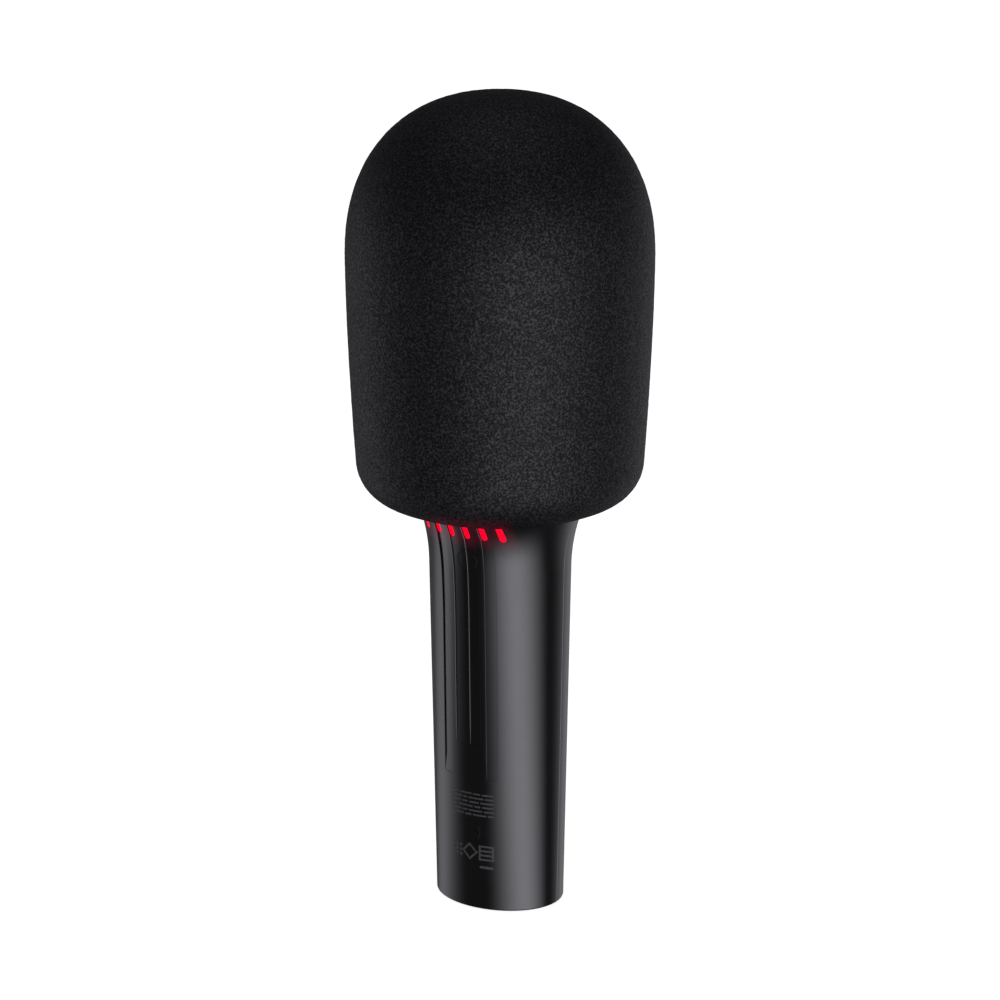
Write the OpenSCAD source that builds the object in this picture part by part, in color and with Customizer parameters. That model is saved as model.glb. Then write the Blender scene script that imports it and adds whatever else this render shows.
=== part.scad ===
// Cordless karaoke microphone with a foam windscreen, a speaker in the head
// and a light ring at the neck. Millimetres, +Z up, origin at the middle of
// the base. The buttons face -Y and the lit slots face +Y.

/* [Handle] */
// Height of the handle, from the base to the underside of the head
neck_top = 127; // [110:0.5:140]
// Half width of the handle at the base
base_half_w = 20.7; // [18:0.1:24]
// Widening of the half width for each millimetre of height
taper = 0.0186; // [0:0.0005:0.04]
// Depth of the handle as a share of its width
depth_ratio = 0.828; // [0.75:0.001:0.95]
// Height at which the neck begins to flare
flare_z = 107.2; // [95:0.1:115]
// Radius of the neck's flare
flare_r = 52; // [45:1:120]
// Wall thickness of the two handle shells
wall = 2; // [1.6:0.1:2.4]
// Rounding of the bottom edge
base_round = 0.5; // [0.2:0.1:1]

/* [Light slots] */
// Number of lit slots
slot_count = 6; // [4:1:6]
// Distance between two slots, across the back
slot_pitch = 5.58; // [5.4:0.01:5.7]
// Width of a slot
slot_w = 1.9; // [1.6:0.1:2.1]
// Height of a slot's round lower end
slot_z = 118.9; // [117:0.1:120]
// Length of a slot
slot_len = 6.4; // [4:0.1:7]
// Sideways lean of a slot for each millimetre of height
slot_lean = 0.23; // [0:0.01:0.25]
// Distance between two grooves, across the back
groove_pitch = 5.27; // [5.1:0.01:5.4]
// Width of a groove below a slot
groove_w = 3.4; // [2.8:0.1:3.6]
// Depth of a groove
groove_depth = 0.5; // [0.2:0.05:0.8]
// Lower end of the two middle grooves
inner_groove_z = 53.6; // [30:0.1:90]
// Lower end of the two outer grooves
outer_groove_z = 42.7; // [30:0.1:90]

/* [Head] */
// Full height of the microphone
total_h = 250; // [245:0.5:255]
// Largest radius of the foam
foam_r = 45.98; // [44:0.01:48]
// Height at which the foam is widest
foam_shoulder_z = 200.8; // [195:0.1:205]
// Radius of the foam where its lower rounding begins
foam_low_r = 43.45; // [43:0.01:45]
// Height at which the foam's lower rounding begins
foam_edge_z = 139; // [137:0.1:145]
// Radius of the foam's lower rounding
foam_edge_r = 13.5; // [8:0.1:14]
// Angle through which the lower rounding turns
foam_edge_turn = 63.5; // [50:0.5:70]
// Radius of the foam's shallow underside
foam_under_r = 80; // [60:1:120]
// Exponent of the superellipse that the foam's dome follows
dome_power = 2.265; // [2:0.005:2.6]
// Outer radius of the basket under the foam
cage_r = 31; // [30.5:0.1:31.2]
// Number of ribs in the basket
rib_count = 12; // [8:1:16]

/* [Controls] */
// Height of the lowest button, which switches the power
power_z = 49; // [48:0.5:50]
// Distance from one button to the next
button_pitch = 12.5; // [12:0.1:12.8]
// Radius of the power button
power_r = 5.2; // [4:0.1:5.4]
// Radius of the other buttons
button_r = 4.3; // [3:0.1:4.5]
// Half width of the control panel
panel_half_w = 8.2; // [7:0.1:9]

/* [Hidden] */
$fn = 96;

fit = 0.1;           // gap between pieces that are pushed together by hand
slide_gap = 0.05;    // gap around a shank, stem or plunger
big = 300;           // larger than the microphone

foam_bow = 1.6;      // exponent of the wall's outward bow
foam_top_t = 13.5;
foam_gap = 0.45;
cage_low_z = 135;
cage_shoulder_z = 200;
cage_top_z = total_h - foam_top_t - 1;
cage_t = 1.7;
mesh_t = 0.5;

disc_t = 2.5;
disc_top = neck_top + disc_t;
flange_t = 2.2;
spigot_r = 13.5;
spigot_wall = 3;
spigot_low_z = 118.5;
lip_r = 15.2;
lip_t = 1.8;
key_w = 3;

slot_shift = 1.8;    // middle of the row of slots, beside the handle's own
groove_shift = 0.35; // middle of the row of grooves, beside the handle's own
slot_step = 0.15;    // ledge between a slot's edge and the wall of its groove
bend_z = 92;         // height at which the grooves begin to bend towards their slots
lens_sink = 0.15;    // how far the lit bars lie below the surface round them
board_ring_z = 116.9;

ref_half_w = 21.9;   // half width at which depth_ratio holds exactly
shell_screw_z = [25.2, 111.8];
plug_r = 3.5;
plug_t = 1.6;
head_seat_y = 12;
boss_r = 4.8;
post_r = 3;

button_z = [for (i = [0:4]) power_z + i * button_pitch];
button_size = [power_r, button_r, button_r, button_r, button_r];
panel_t = 1;
board_y = -9.2;
board_t = 1.2;
switch_h = 3.4;
plunger_top = 13.4;
plunger_r = 1.7;
press = 0.4;

battery_r = 9.15;
battery_len = 65;
battery_y = 4.8;
battery_low_z = 32.5;
bracket_z = [56, 72];
bracket_post = [13.4, 0, 64];
bracket_y = -3.6;
bracket_t = 1.6;

cap_t = 2.4;
port_x = 7;
usb_w = 8.94;
usb_h = 3.26;
usb_y = -2.35;
jack_y = -3.4;
jack_bore_r = 1.8;

chamber_r = 24.6;
chamber_wall = 1.8;
chamber_low_z = 131;
chamber_top_z = 170;
rim_r = 27.5;
gasket_t = 1;
frame_r = 27;
frame_z = chamber_top_z + gasket_t;
frame_t = 1.2;
pole_top = 155;
magnet_low = 146;
speaker_screw_r = 25.3;
cage_screw_r = 27.4;
chamber_screw_r = 18;

// ---- shapes shared by several pieces ----

function flare(z) = z < flare_z ? 0 : flare_r - sqrt(pow(flare_r, 2) - pow(z - flare_z, 2));
function half_w(z) = base_half_w + taper * z + flare(z);
function inset_ratio(inset) = (depth_ratio * ref_half_w - inset) / (ref_half_w - inset);
function half_d(z, inset = 0) = (half_w(z) - inset) * inset_ratio(inset);
function depth_at(x, z, inset = 0) =
    half_d(z, inset) * sqrt(1 - pow(x / (half_w(z) - inset), 2));

// Heights at which a handle profile has a point
function profile_z(z0, z1) = concat(
    [z0],
    [for (z = [flare_z:2.2:z1 - 0.5]) if (z > z0 + 0.5) z],
    [z1]
);

// The handle's oval form, moved inwards by inset, between two heights
module handle_form(inset, z0, z1) {
    scale([1, inset_ratio(inset), 1])
        rotate_extrude()
            polygon(concat(
                [[0, z0]],
                [for (z = profile_z(z0, z1)) [half_w(z) - inset, z]],
                [[0, z1]]
            ));
}

// The outside of the handle, with its rounded bottom edge
module handle_outside() {
    scale([1, depth_ratio, 1])
        rotate_extrude()
            polygon(concat(
                [[0, 0]],
                [for (a = [0:30:60])
                    [half_w(0) - base_round * (1 - sin(a)), base_round * (1 - cos(a))]],
                [for (z = profile_z(base_round, neck_top)) [half_w(z), z]],
                [[0, neck_top]]
            ));
}

// Everything on the back (side = 1) or the front (side = -1) of the parting plane
module half_space(side) {
    translate([-big / 2, side > 0 ? 0 : -big, -big / 2])
        cube(big);
}

// Extrudes an outline drawn in X and Z along +Y, from y0 to y1
module along_y(y0, y1) {
    translate([0, y1, 0])
        rotate([90, 0, 0])
            linear_extrude(y1 - y0)
                children();
}

// A round bar along +Y
module bar_y(x, z, r, y0, y1) {
    translate([x, y0, z])
        rotate([-90, 0, 0])
            cylinder(r = r, h = y1 - y0);
}

// A tube standing on z0
module tube(r_out, r_in, z0, z1) {
    difference() {
        translate([0, 0, z0])
            cylinder(r = r_out, h = z1 - z0);
        translate([0, 0, z0 - 1])
            cylinder(r = r_in, h = z1 - z0 + 2);
    }
}

// Upright cylinder
module post(x, y, r, z0, z1) {
    translate([x, y, z0])
        cylinder(r = r, h = z1 - z0);
}

// Puts its children at each of a list of angles, at radius r
module ring_of(angles, r) {
    for (a = angles)
        rotate([0, 0, a])
            translate([r, 0, 0])
                children();
}

// Superellipse dome, from just above its shoulder to step `last` on its way to the apex
function dome(r, z0, z1, last, steps) = [for (i = [1:last])
    let (t = 90 * (1 - i / steps))
        [r * pow(sin(t), 2 / dome_power), z0 + (z1 - z0) * pow(cos(t), 2 / dome_power)]];
function reverse(list) = [for (k = [len(list) - 1:-1:0]) list[k]];

// Middle of a slot and of a groove at height z
function slot_x(i, z) =
    slot_shift + ((slot_count - 1) / 2 - i) * slot_pitch + slot_lean * (z - slot_z);
function groove_x(i, z) =
    let (
        low = groove_shift + ((slot_count - 1) / 2 - i) * groove_pitch,
        top = slot_x(i, max(z, slot_z)) - (groove_w - slot_w) / 2 + slot_step,
        turn = max(0, min(1, (z - bend_z) / (slot_z - bend_z)))
    )
        low + (top - low) * pow(turn, 2);
function has_groove(i) = i > 0 && i < slot_count - 1;

// Outline of one lit slot; grow makes it wider all round
module slot_outline(i, grow) {
    r = slot_w / 2 + grow;
    z0 = slot_z + slot_w / 2;
    z1 = slot_z + slot_len - slot_w / 2;
    translate([slot_x(i, z0), z0])
        circle(r);
    translate([slot_x(i, z1), z1])
        circle(r);
    polygon([
        [slot_x(i, z0) - r, z0],
        [slot_x(i, z0) + r, z0],
        [slot_x(i, z1) + r, z1],
        [slot_x(i, z1) - r, z1]
    ]);
}

// Outline of one groove, which bends towards its slot at the top
module groove_outline(i) {
    bends = 5;
    low_z = (i == 1 || i == slot_count - 2) ? outer_groove_z : inner_groove_z;
    levels = concat(
        [low_z],
        [for (k = [0:bends]) bend_z + (slot_z - bend_z) * k / bends],
        [neck_top + 1]
    );
    polygon(concat(
        [for (z = levels) [groove_x(i, z) - groove_w / 2, z]],
        [for (z = reverse(levels)) [groove_x(i, z) + groove_w / 2, z]]
    ));
}

// What the grooves take away from the back of the handle
module grooves() {
    difference() {
        along_y(5, 40)
            for (i = [0:slot_count - 1])
                if (has_groove(i)) groove_outline(i);
        handle_form(groove_depth, 0, neck_top + 2);
    }
}

// Outline of the control panel
module panel_outline(grow) {
    r = panel_half_w + grow;
    translate([0, button_z[0]])
        circle(r);
    translate([0, button_z[4]])
        circle(r);
    translate([-r, button_z[0]])
        square([2 * r, button_z[4] - button_z[0]]);
}

// Flat-sided oval outline
module stadium(w, h) {
    r = h / 2;
    for (s = [-1, 1])
        translate([s * (w / 2 - r), 0])
            circle(r);
    translate([-(w / 2 - r), -r])
        square([w - h, h]);
}

// ---- head, from the outside in ----

module foam_windscreen() {
    wall_steps = 8;
    edge_steps = 10;
    under_steps = 4;
    in_r = cage_r + foam_gap;
    in_top = total_h - foam_top_t;
    wall_h = foam_shoulder_z - foam_edge_z;
    tilt = atan((foam_r - foam_low_r) * foam_bow / wall_h);
    turned = tilt + foam_edge_turn;
    edge_mid = [foam_low_r, foam_edge_z] - foam_edge_r * [cos(tilt), -sin(tilt)];
    under_mid = edge_mid - (foam_under_r - foam_edge_r) * [cos(turned), -sin(turned)];
    under_end = acos((in_r - under_mid[0]) / foam_under_r);
    color([0.035, 0.035, 0.038])
        rotate_extrude()
            polygon(concat(
                [for (k = [0:under_steps])
                    let (a = under_end + (turned - under_end) * k / under_steps)
                        under_mid + foam_under_r * [cos(a), -sin(a)]],
                [for (k = [1:edge_steps])
                    let (a = turned - foam_edge_turn * k / edge_steps)
                        edge_mid + foam_edge_r * [cos(a), -sin(a)]],
                [for (k = [1:wall_steps])
                    let (s = k / wall_steps)
                        [foam_low_r + (foam_r - foam_low_r) * (1 - pow(1 - s, foam_bow)),
                         foam_edge_z + wall_h * s]],
                dome(foam_r, foam_shoulder_z, total_h, 19, 20),
                [[0, total_h]],
                [[0, in_top]],
                reverse(dome(in_r, cage_shoulder_z, in_top, 9, 10)),
                [[in_r, cage_shoulder_z]]
            ));
}

// Closed band between an outer and an inner dome, open at the bottom
module dome_shell(r, z0, shoulder, top, t) {
    rotate_extrude()
        polygon(concat(
            [[r, z0], [r, shoulder]],
            dome(r, shoulder, top, 9, 10),
            [[0, top], [0, top - t]],
            reverse(dome(r - t, shoulder, top - t, 9, 10)),
            [[r - t, shoulder], [r - t, z0]]
        ));
}

// Plastic basket: a collar, ribs and rings, open between them
module grille_cage() {
    sector = 360 / rib_count;
    rib_deg = 6;
    ring_z = [cage_low_z + 5, 168, 171, cage_shoulder_z - 1, cage_shoulder_z + 3];
    cap_r = 10;
    spigot_z = disc_top + 0.5;
    spigot_in_r = cage_r - cage_t - 1.6;
    color([0.06, 0.06, 0.065]) {
        difference() {
            dome_shell(cage_r, cage_low_z, cage_shoulder_z, cage_top_z, cage_t);
            for (i = [0:rib_count - 1])
                rotate([0, 0, i * sector + rib_deg / 2]) {
                    window(ring_z[0], ring_z[1], sector - rib_deg, cage_r - 5);
                    window(ring_z[2], ring_z[3], sector - rib_deg, cage_r - 5);
                    window(ring_z[4], cage_top_z + 1, sector - rib_deg, cap_r);
                }
        }
        difference() {
            union() {
                tube(cage_r - cage_t - fit, spigot_in_r, spigot_z, ring_z[0]);
                tube(cage_r - cage_t / 2, spigot_in_r, cage_low_z, ring_z[0]);
            }
            ring_of([45:90:315], cage_screw_r)
                post(0, 0, 1.5, spigot_z - 1, ring_z[0] + 1);
        }
        difference() {
            intersection() {
                ring_of([45:90:315], cage_screw_r)
                    post(0, 0, 2.4, spigot_z, ring_z[0] - 1);
                post(0, 0, cage_r - cage_t - fit, spigot_z - 1, ring_z[0]);
            }
            ring_of([45:90:315], cage_screw_r)
                post(0, 0, 1 + slide_gap, spigot_z - 1, ring_z[0] - 2);
        }
    }
}

// Cutter for one opening of the basket
module window(z0, z1, deg, r_in) {
    rotate_extrude(angle = deg)
        translate([r_in, z0])
            square([cage_r + 5 - r_in, z1 - z0]);
}

// Wire mesh lining of the basket, as one thin dome
module grille_mesh() {
    color([0.45, 0.45, 0.47])
        dome_shell(cage_r - cage_t - slide_gap, cage_low_z + 5 + slide_gap, cage_shoulder_z,
            cage_top_z - cage_t - slide_gap, mesh_t);
}

// Three-legged frame that carries the microphone above the speaker
module mic_tower() {
    foot_z = frame_z + frame_t;
    hub_z = 203;
    leg_r = 25.8;
    leg_angles = [90, 210, 330];
    color([0.08, 0.08, 0.085])
        difference() {
            union() {
                tube(27.3, 24.4, foot_z, foot_z + 2);
                ring_of(leg_angles, leg_r)
                    post(0, 0, 1.3, foot_z + 1, hub_z + 2.9);
                tube(12, 8.6, hub_z, hub_z + 3);
                for (a = leg_angles)
                    rotate([0, 0, a])
                        translate([10.5, -1.6, hub_z])
                            cube([leg_r - 10.5, 3.2, 3]);
            }
            ring_of([30:120:270], speaker_screw_r)
                post(0, 0, 1, foot_z - 1, foot_z + 3);
        }
}

// Rubber cup that isolates the microphone from the frame
module mic_holder() {
    color([0.1, 0.1, 0.1])
        rotate_extrude()
            polygon([
                [7.5, 199], [9.4, 199], [10, 200], [10, 202.95], [8.55, 202.95], [8.55, 206.05],
                [10, 206.05], [10, 208], [9.4, 209], [7.5, 209]
            ]);
}

// Microphone capsule with a pierced front
module mic_capsule() {
    color([0.75, 0.75, 0.77])
        difference() {
            rotate_extrude()
                polygon([
                    [0, 198], [6.6, 198], [7.45, 198.8], [7.45, 212.2], [6.6, 213], [0, 213]
                ]);
            post(0, 0, 0.8, 211.5, 214);
            ring_of([0:60:300], 3.6)
                post(0, 0, 0.8, 211.5, 214);
        }
}

// Steel basket of the speaker, with four openings in its cone
module speaker_frame() {
    color([0.25, 0.25, 0.27])
        difference() {
            rotate_extrude()
                polygon([
                    [11.6, pole_top], [18.4, pole_top], [18.4, 157.4], [22.7, frame_z - 0.5],
                    [22.7, frame_z], [frame_r, frame_z], [frame_r, frame_z + frame_t],
                    [22, frame_z + frame_t], [22, frame_z], [17.6, 158],
                    [16.4, 158], [16.4, pole_top + 1], [11.6, pole_top + 1]
                ]);
            for (a = [20:90:290])
                rotate([0, 0, a])
                    rotate_extrude(angle = 50)
                        translate([15, 159.5])
                            square([12, 8.5]);
            ring_of([30:120:270], speaker_screw_r)
                post(0, 0, 1, frame_z - 1, frame_z + 3);
        }
}

module speaker_top_plate() {
    color([0.5, 0.5, 0.52])
        tube(15.5, 10.9, pole_top - 3, pole_top);
}

module speaker_magnet() {
    color([0.16, 0.16, 0.17])
        tube(16, 12, magnet_low, pole_top - 3);
}

// Back plate of the magnet with the pole that stands in the coil
module speaker_yoke() {
    color([0.5, 0.5, 0.52]) {
        post(0, 0, 15.5, magnet_low - 4, magnet_low);
        post(0, 0, 9.4, magnet_low - 1, pole_top);
    }
}

module voice_coil() {
    color([0.72, 0.38, 0.18]) {
        tube(10.3, 9.8, 149, 163);
        tube(10.55, 10.2, 149.5, 155.5);
    }
}

// Corrugated disc that centres the coil
module speaker_spider() {
    steps = 12;
    r0 = 10.35;
    r1 = 16.35;
    z = 157.1;
    wave = 0.35;
    color([0.75, 0.55, 0.25])
        rotate_extrude()
            polygon(concat(
                [for (k = [0:steps]) [r0 + (r1 - r0) * k / steps, z + wave * sin(k * 90)]],
                [for (k = [steps:-1:0]) [r0 + (r1 - r0) * k / steps, z + 0.4 + wave * sin(k * 90)]]
            ));
}

module speaker_cone() {
    color([0.12, 0.12, 0.13])
        rotate_extrude()
            polygon([
                [10.35, 161.2], [10.9, 161.2], [20.4, 171.6], [20.9, 171.6],
                [20.9, 172.1], [20.1, 172.1], [10.35, 161.9]
            ]);
}

module dust_cap() {
    steps = 6;
    rise = 3.2;
    color([0.1, 0.1, 0.11])
        rotate_extrude()
            polygon(concat(
                [for (k = [0:steps]) let (a = 90 * k / steps) [10.2 * cos(a), 163.1 + rise * sin(a)]],
                [for (k = [steps:-1:0])
                    let (a = 90 * k / steps) [9.7 * cos(a), 163.1 + (rise - 0.5) * sin(a)]]
            ));
}

// Half-roll rubber edge between the cone and the frame
module speaker_surround() {
    steps = 8;
    mid_r = 21.85;
    flat_z = frame_z + frame_t;
    color([0.07, 0.07, 0.07])
        rotate_extrude()
            polygon(concat(
                [[24.2, flat_z], [24.2, flat_z + 0.4]],
                [for (k = [0:steps])
                    let (a = 180 * k / steps) [mid_r + 1.3 * cos(a), flat_z + 0.4 + 1.3 * sin(a)]],
                [[19.9, flat_z + 0.4], [19.9, flat_z]],
                [for (k = [steps:-1:0])
                    let (a = 180 * k / steps) [mid_r + 0.9 * cos(a), flat_z + 0.9 * sin(a)]]
            ));
}

module speaker_gasket() {
    color([0.05, 0.05, 0.05])
        difference() {
            tube(frame_r, 22.9, chamber_top_z, frame_z);
            ring_of([30:120:270], speaker_screw_r)
                post(0, 0, 1, chamber_top_z - 1, frame_z + 1);
        }
}

// Closed box behind the speaker
module speaker_chamber() {
    rim_t = 4;
    color([0.07, 0.07, 0.075])
        difference() {
            union() {
                post(0, 0, chamber_r, chamber_low_z, chamber_top_z);
                post(0, 0, rim_r, chamber_top_z - rim_t, chamber_top_z);
                rotate_extrude()
                    polygon([
                        [chamber_r - 0.5, 162], [chamber_r, 162],
                        [rim_r, chamber_top_z - rim_t], [chamber_r - 0.5, chamber_top_z - rim_t]
                    ]);
            }
            post(0, 0, chamber_r - chamber_wall, chamber_low_z + 2, chamber_top_z + 1);
            ring_of([0:120:240], chamber_screw_r)
                post(0, 0, 1.1 + slide_gap, chamber_low_z - 1, chamber_low_z + 3);
            ring_of([30:120:270], speaker_screw_r)
                post(0, 0, 0.9 + slide_gap, chamber_top_z - 5, chamber_top_z + 1);
        }
}

// Dish that carries the head; its spigot is clamped between the handle shells
module head_base() {
    rim_t = 1.7;
    color([0.06, 0.06, 0.065])
        difference() {
            union() {
                rotate_extrude()
                    polygon([
                        [spigot_r - 1, neck_top], [cage_r - 0.6, neck_top], [cage_r, neck_top + 0.6],
                        [cage_r, cage_low_z], [cage_r - rim_t, cage_low_z],
                        [cage_r - rim_t, disc_top], [spigot_r - 1, disc_top]
                    ]);
                post(0, 0, spigot_r, spigot_low_z, disc_top);
                post(0, 0, lip_r, neck_top - flange_t - fit - lip_t, neck_top - flange_t - fit);
                ring_of([0:120:240], chamber_screw_r)
                    post(0, 0, 3, disc_top - 1, chamber_low_z);
                translate([-spigot_r - 1.2, -key_w / 2, neck_top - flange_t - 1])
                    cube([2 * spigot_r + 2.4, key_w, flange_t + 2]);
            }
            post(0, 0, spigot_r - spigot_wall, spigot_low_z - 1, disc_top + 1);
            ring_of([45:90:315], cage_screw_r) {
                post(0, 0, 1.15, neck_top - 1, disc_top + 1);
                post(0, 0, 2.3, neck_top - 1, neck_top + 1.6);
            }
            ring_of([0:120:240], chamber_screw_r)
                post(0, 0, 1.1 + slide_gap, neck_top + 0.5, chamber_low_z + 1);
        }
}

// ---- light ring at the neck ----

// Clear moulding: a curved band behind the wall with one bar in each slot
module light_guide() {
    band_half_w = 18.6;
    band_t = 1.2;
    color([1, 0.05, 0.15]) {
        intersection() {
            difference() {
                handle_form(wall + fit, slot_z - 0.8, neck_top - flange_t - fit);
                handle_form(wall + fit + band_t, slot_z - 2, neck_top);
            }
            translate([-band_half_w, 2, slot_z - 2])
                cube([2 * band_half_w, 40, 12]);
        }
        for (i = [0:slot_count - 1])
            intersection() {
                along_y(5, 40)
                    slot_outline(i, -slide_gap);
                difference() {
                    handle_form(
                        lens_sink + (has_groove(i) ? groove_depth : 0), slot_z - 2, neck_top - 0.3
                    );
                    handle_form(wall + fit + band_t / 2, slot_z - 3, neck_top + 1);
                }
            }
    }
}

// Curved board below the slots
module led_board() {
    color([0.08, 0.25, 0.12])
        intersection() {
            difference() {
                handle_form(wall + 0.3, board_ring_z, board_ring_z + 1.2);
                post(0, 0, spigot_r + 0.4, board_ring_z - 1, board_ring_z + 3);
            }
            translate([-17.5, 4, board_ring_z - 1])
                cube([35, 40, 4]);
        }
}

// One side-firing lamp behind each slot
module slot_leds() {
    color([0.95, 0.9, 0.7])
        for (i = [0:slot_count - 1])
            let (
                x = slot_x(i, slot_z + 2),
                x_in = x * 0.86,
                y = depth_at(x_in, board_ring_z + 1.2, wall + 2.4)
            )
                translate([x_in, y, board_ring_z + 1.2])
                    rotate([0, 0, -atan(x_in / y) * 0.7])
                        translate([-1.2, -0.7, 0])
                            cube([2.4, 1.3, 3.6]);
}

// ---- handle ----

// Wall, top flange and end-cap groove that both shells share
module half_shell(side) {
    intersection() {
        difference() {
            handle_outside();
            handle_form(wall, -1, neck_top - flange_t);
            post(0, 0, spigot_r + fit, neck_top - flange_t - 1, neck_top + 1);
            translate([-spigot_r - 1.4, -key_w / 2 - fit, neck_top - flange_t - 1])
                cube([2 * spigot_r + 2.8, key_w + 2 * fit, flange_t + 2]);
            handle_form(1, 0.9, 2.1);
        }
        half_space(side);
    }
}

// A boss along Y, trimmed to the inside of the shell
module boss(x, z, r, y0, y1) {
    intersection() {
        bar_y(x, z, r, y0, y1);
        handle_form(wall / 2, -1, neck_top);
    }
}

module handle_rear_shell() {
    color([0.02, 0.02, 0.025])
        difference() {
            union() {
                half_shell(1);
                for (z = shell_screw_z) {
                    boss(0, z, boss_r, head_seat_y - 3, 30);
                    boss(0, z, post_r, 0, 30);
                }
                for (s = [-1, 1])
                    boss(s * bracket_post[0], bracket_post[2], 2.2, bracket_y + bracket_t + slide_gap, 30);
            }
            grooves();
            along_y(9, 40)
                for (i = [0:slot_count - 1])
                    slot_outline(i, 0);
            for (z = shell_screw_z) {
                bar_y(0, z, plug_r, head_seat_y, 40);
                bar_y(0, z, 1.4, -1, 20);
            }
            for (s = [-1, 1])
                bar_y(s * bracket_post[0], bracket_post[2], 1, -5, 6);
        }
}

module handle_front_shell() {
    color([0.02, 0.02, 0.025])
        difference() {
            union() {
                half_shell(-1);
                for (z = shell_screw_z)
                    boss(0, z, post_r, -30, 0);
                for (p = board_posts())
                    boss(p[0], p[1], 2.2, -30, p[2]);
            }
            difference() {
                along_y(-40, -5)
                    panel_outline(0.08);
                handle_form(panel_t + fit, 0, neck_top + 1);
            }
            for (i = [0:4])
                bar_y(0, button_z[i], button_size[i] + 0.25, -40, -10);
            for (z = shell_screw_z)
                bar_y(0, z, 1.2 + slide_gap, -9, 1);
            for (p = board_posts())
                bar_y(p[0], p[1], 0.9 + slide_gap, p[2] - 5, p[2] + 1);
        }
}

// X, Z and top of each post that carries a circuit board
function board_posts() = concat(
    [for (x = [-10.4, 10.4]) for (z = [34, 101]) [x, z, board_y]],
    [for (x = [-12.6, 12.6]) [x, 14.5, -0.6]]
);

// Trim plate let into the front, flush with the handle
module control_panel() {
    color([0.03, 0.03, 0.035])
        difference() {
            intersection() {
                handle_outside();
                along_y(-40, -5)
                    panel_outline(0);
            }
            handle_form(panel_t, -1, neck_top + 1);
            for (i = [0:4])
                bar_y(0, button_z[i], button_size[i] + 0.15, -40, -5);
        }
}

// Cap, retaining flange and stem of one button, pointing at -Y
module button(i) {
    r = button_size[i];
    z = button_z[i];
    flange_r = r + 0.9;
    flange_y = -depth_at(flange_r, z, wall) + 0.25;
    face = half_d(z);
    translate([0, 0, z])
        rotate([90, 0, 0])
            rotate_extrude()
                polygon([
                    [0, plunger_top], [1.6, plunger_top], [1.6, -flange_y - 0.9],
                    [flange_r, -flange_y - 0.9], [flange_r, -flange_y], [r, -flange_y],
                    [r, face + 0.25], [r - 0.15, face + 0.5], [r - 0.5, face + 0.7],
                    [r * 0.55, face + 0.85], [0, face + 0.9]
                ]);
}

// Moving pin of one switch, which sinks into its body with the button
module plunger(i) {
    color([0.12, 0.12, 0.12])
        bar_y(0, button_z[i], plunger_r, -plunger_top, board_y - switch_h + 0.6);
}

button_color = [0.09, 0.09, 0.1];
module power_button() { color([0.65, 0.08, 0.12]) button(0); }
module mode_button() { color(button_color) button(1); }
module volume_down_button() { color(button_color) button(2); }
module volume_up_button() { color(button_color) button(3); }
module echo_button() { color(button_color) button(4); }
module power_plunger() { plunger(0); }
module mode_plunger() { plunger(1); }
module volume_down_plunger() { plunger(2); }
module volume_up_plunger() { plunger(3); }
module echo_plunger() { plunger(4); }

// Five press switches, each with a well for its plunger
module switch_bodies() {
    color([0.6, 0.6, 0.62])
        for (z = button_z)
            difference() {
                translate([-3, board_y - switch_h, z - 3])
                    cube([6, switch_h, 6]);
                bar_y(0, z, plunger_r + slide_gap, board_y - switch_h - 1, board_y - switch_h + 1.2);
            }
}

module main_board() {
    half = 13;
    color([0.08, 0.25, 0.12])
        difference() {
            translate([-half, board_y, 30])
                cube([2 * half, board_t, 76]);
            for (p = board_posts())
                bar_y(p[0], p[1], 1, board_y - 1, board_y + board_t + 1);
        }
}

// Chips, radio module and battery socket on the back of the main board
module board_parts() {
    y = board_y + board_t;
    blocks = [
        [-6, 37, 12, 1.2, 7],
        [-10, 46, 5, 1, 5],
        [2, 46, 8, 1.4, 6],
        [-7.5, 76, 15, 1.8, 16],
        [-6, 94, 4, 1.2, 4],
        [1, 94, 7, 1.6, 5]
    ];
    color([0.1, 0.1, 0.11])
        for (b = blocks)
            translate([b[0], y, b[1]])
                cube([b[2], b[3], b[4]]);
}

// Cylindrical rechargeable cell
module battery_cell() {
    color([0.1, 0.35, 0.6])
        translate([0, battery_y, battery_low_z])
            rotate_extrude()
                polygon([
                    [0, 0], [battery_r - 0.6, 0], [battery_r, 0.6], [battery_r, battery_len - 2],
                    [battery_r - 0.6, battery_len - 1.2], [2.8, battery_len - 1.2],
                    [2.8, battery_len], [0, battery_len]
                ]);
}

// Foam strips between the cell and the rear shell
module battery_pads() {
    color([0.15, 0.15, 0.15])
        for (z = [38, 86])
            difference() {
                intersection() {
                    translate([-6, 9, z])
                        cube([12, 20, 7]);
                    handle_form(wall + slide_gap, 0, neck_top);
                }
                translate([0, battery_y, z - 1])
                    cylinder(r = battery_r + slide_gap, h = 9);
            }
}

// Strap that holds the cell in the rear shell
module battery_bracket() {
    ear_in = 4;
    ear_out = 15.8;
    h = bracket_z[1] - bracket_z[0];
    color([0.14, 0.14, 0.15])
        difference() {
            union() {
                intersection() {
                    translate([0, battery_y, bracket_z[0]])
                        tube(battery_r + 1.5, battery_r + 0.15, 0, h);
                    translate([-20, -20, bracket_z[0] - 1])
                        cube([40, 20 + bracket_y + bracket_t, h + 2]);
                }
                for (s = [-1, 1])
                    translate([s > 0 ? ear_in : -ear_out, bracket_y, bracket_z[0]])
                        cube([ear_out - ear_in, bracket_t, h]);
            }
            translate([0, battery_y, bracket_z[0] - 1])
                cylinder(r = battery_r + 0.15, h = h + 2);
            for (s = [-1, 1])
                bar_y(s * bracket_post[0], bracket_post[2], 1.1, bracket_y - 1, bracket_y + 3);
        }
}

// ---- bottom end ----

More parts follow.
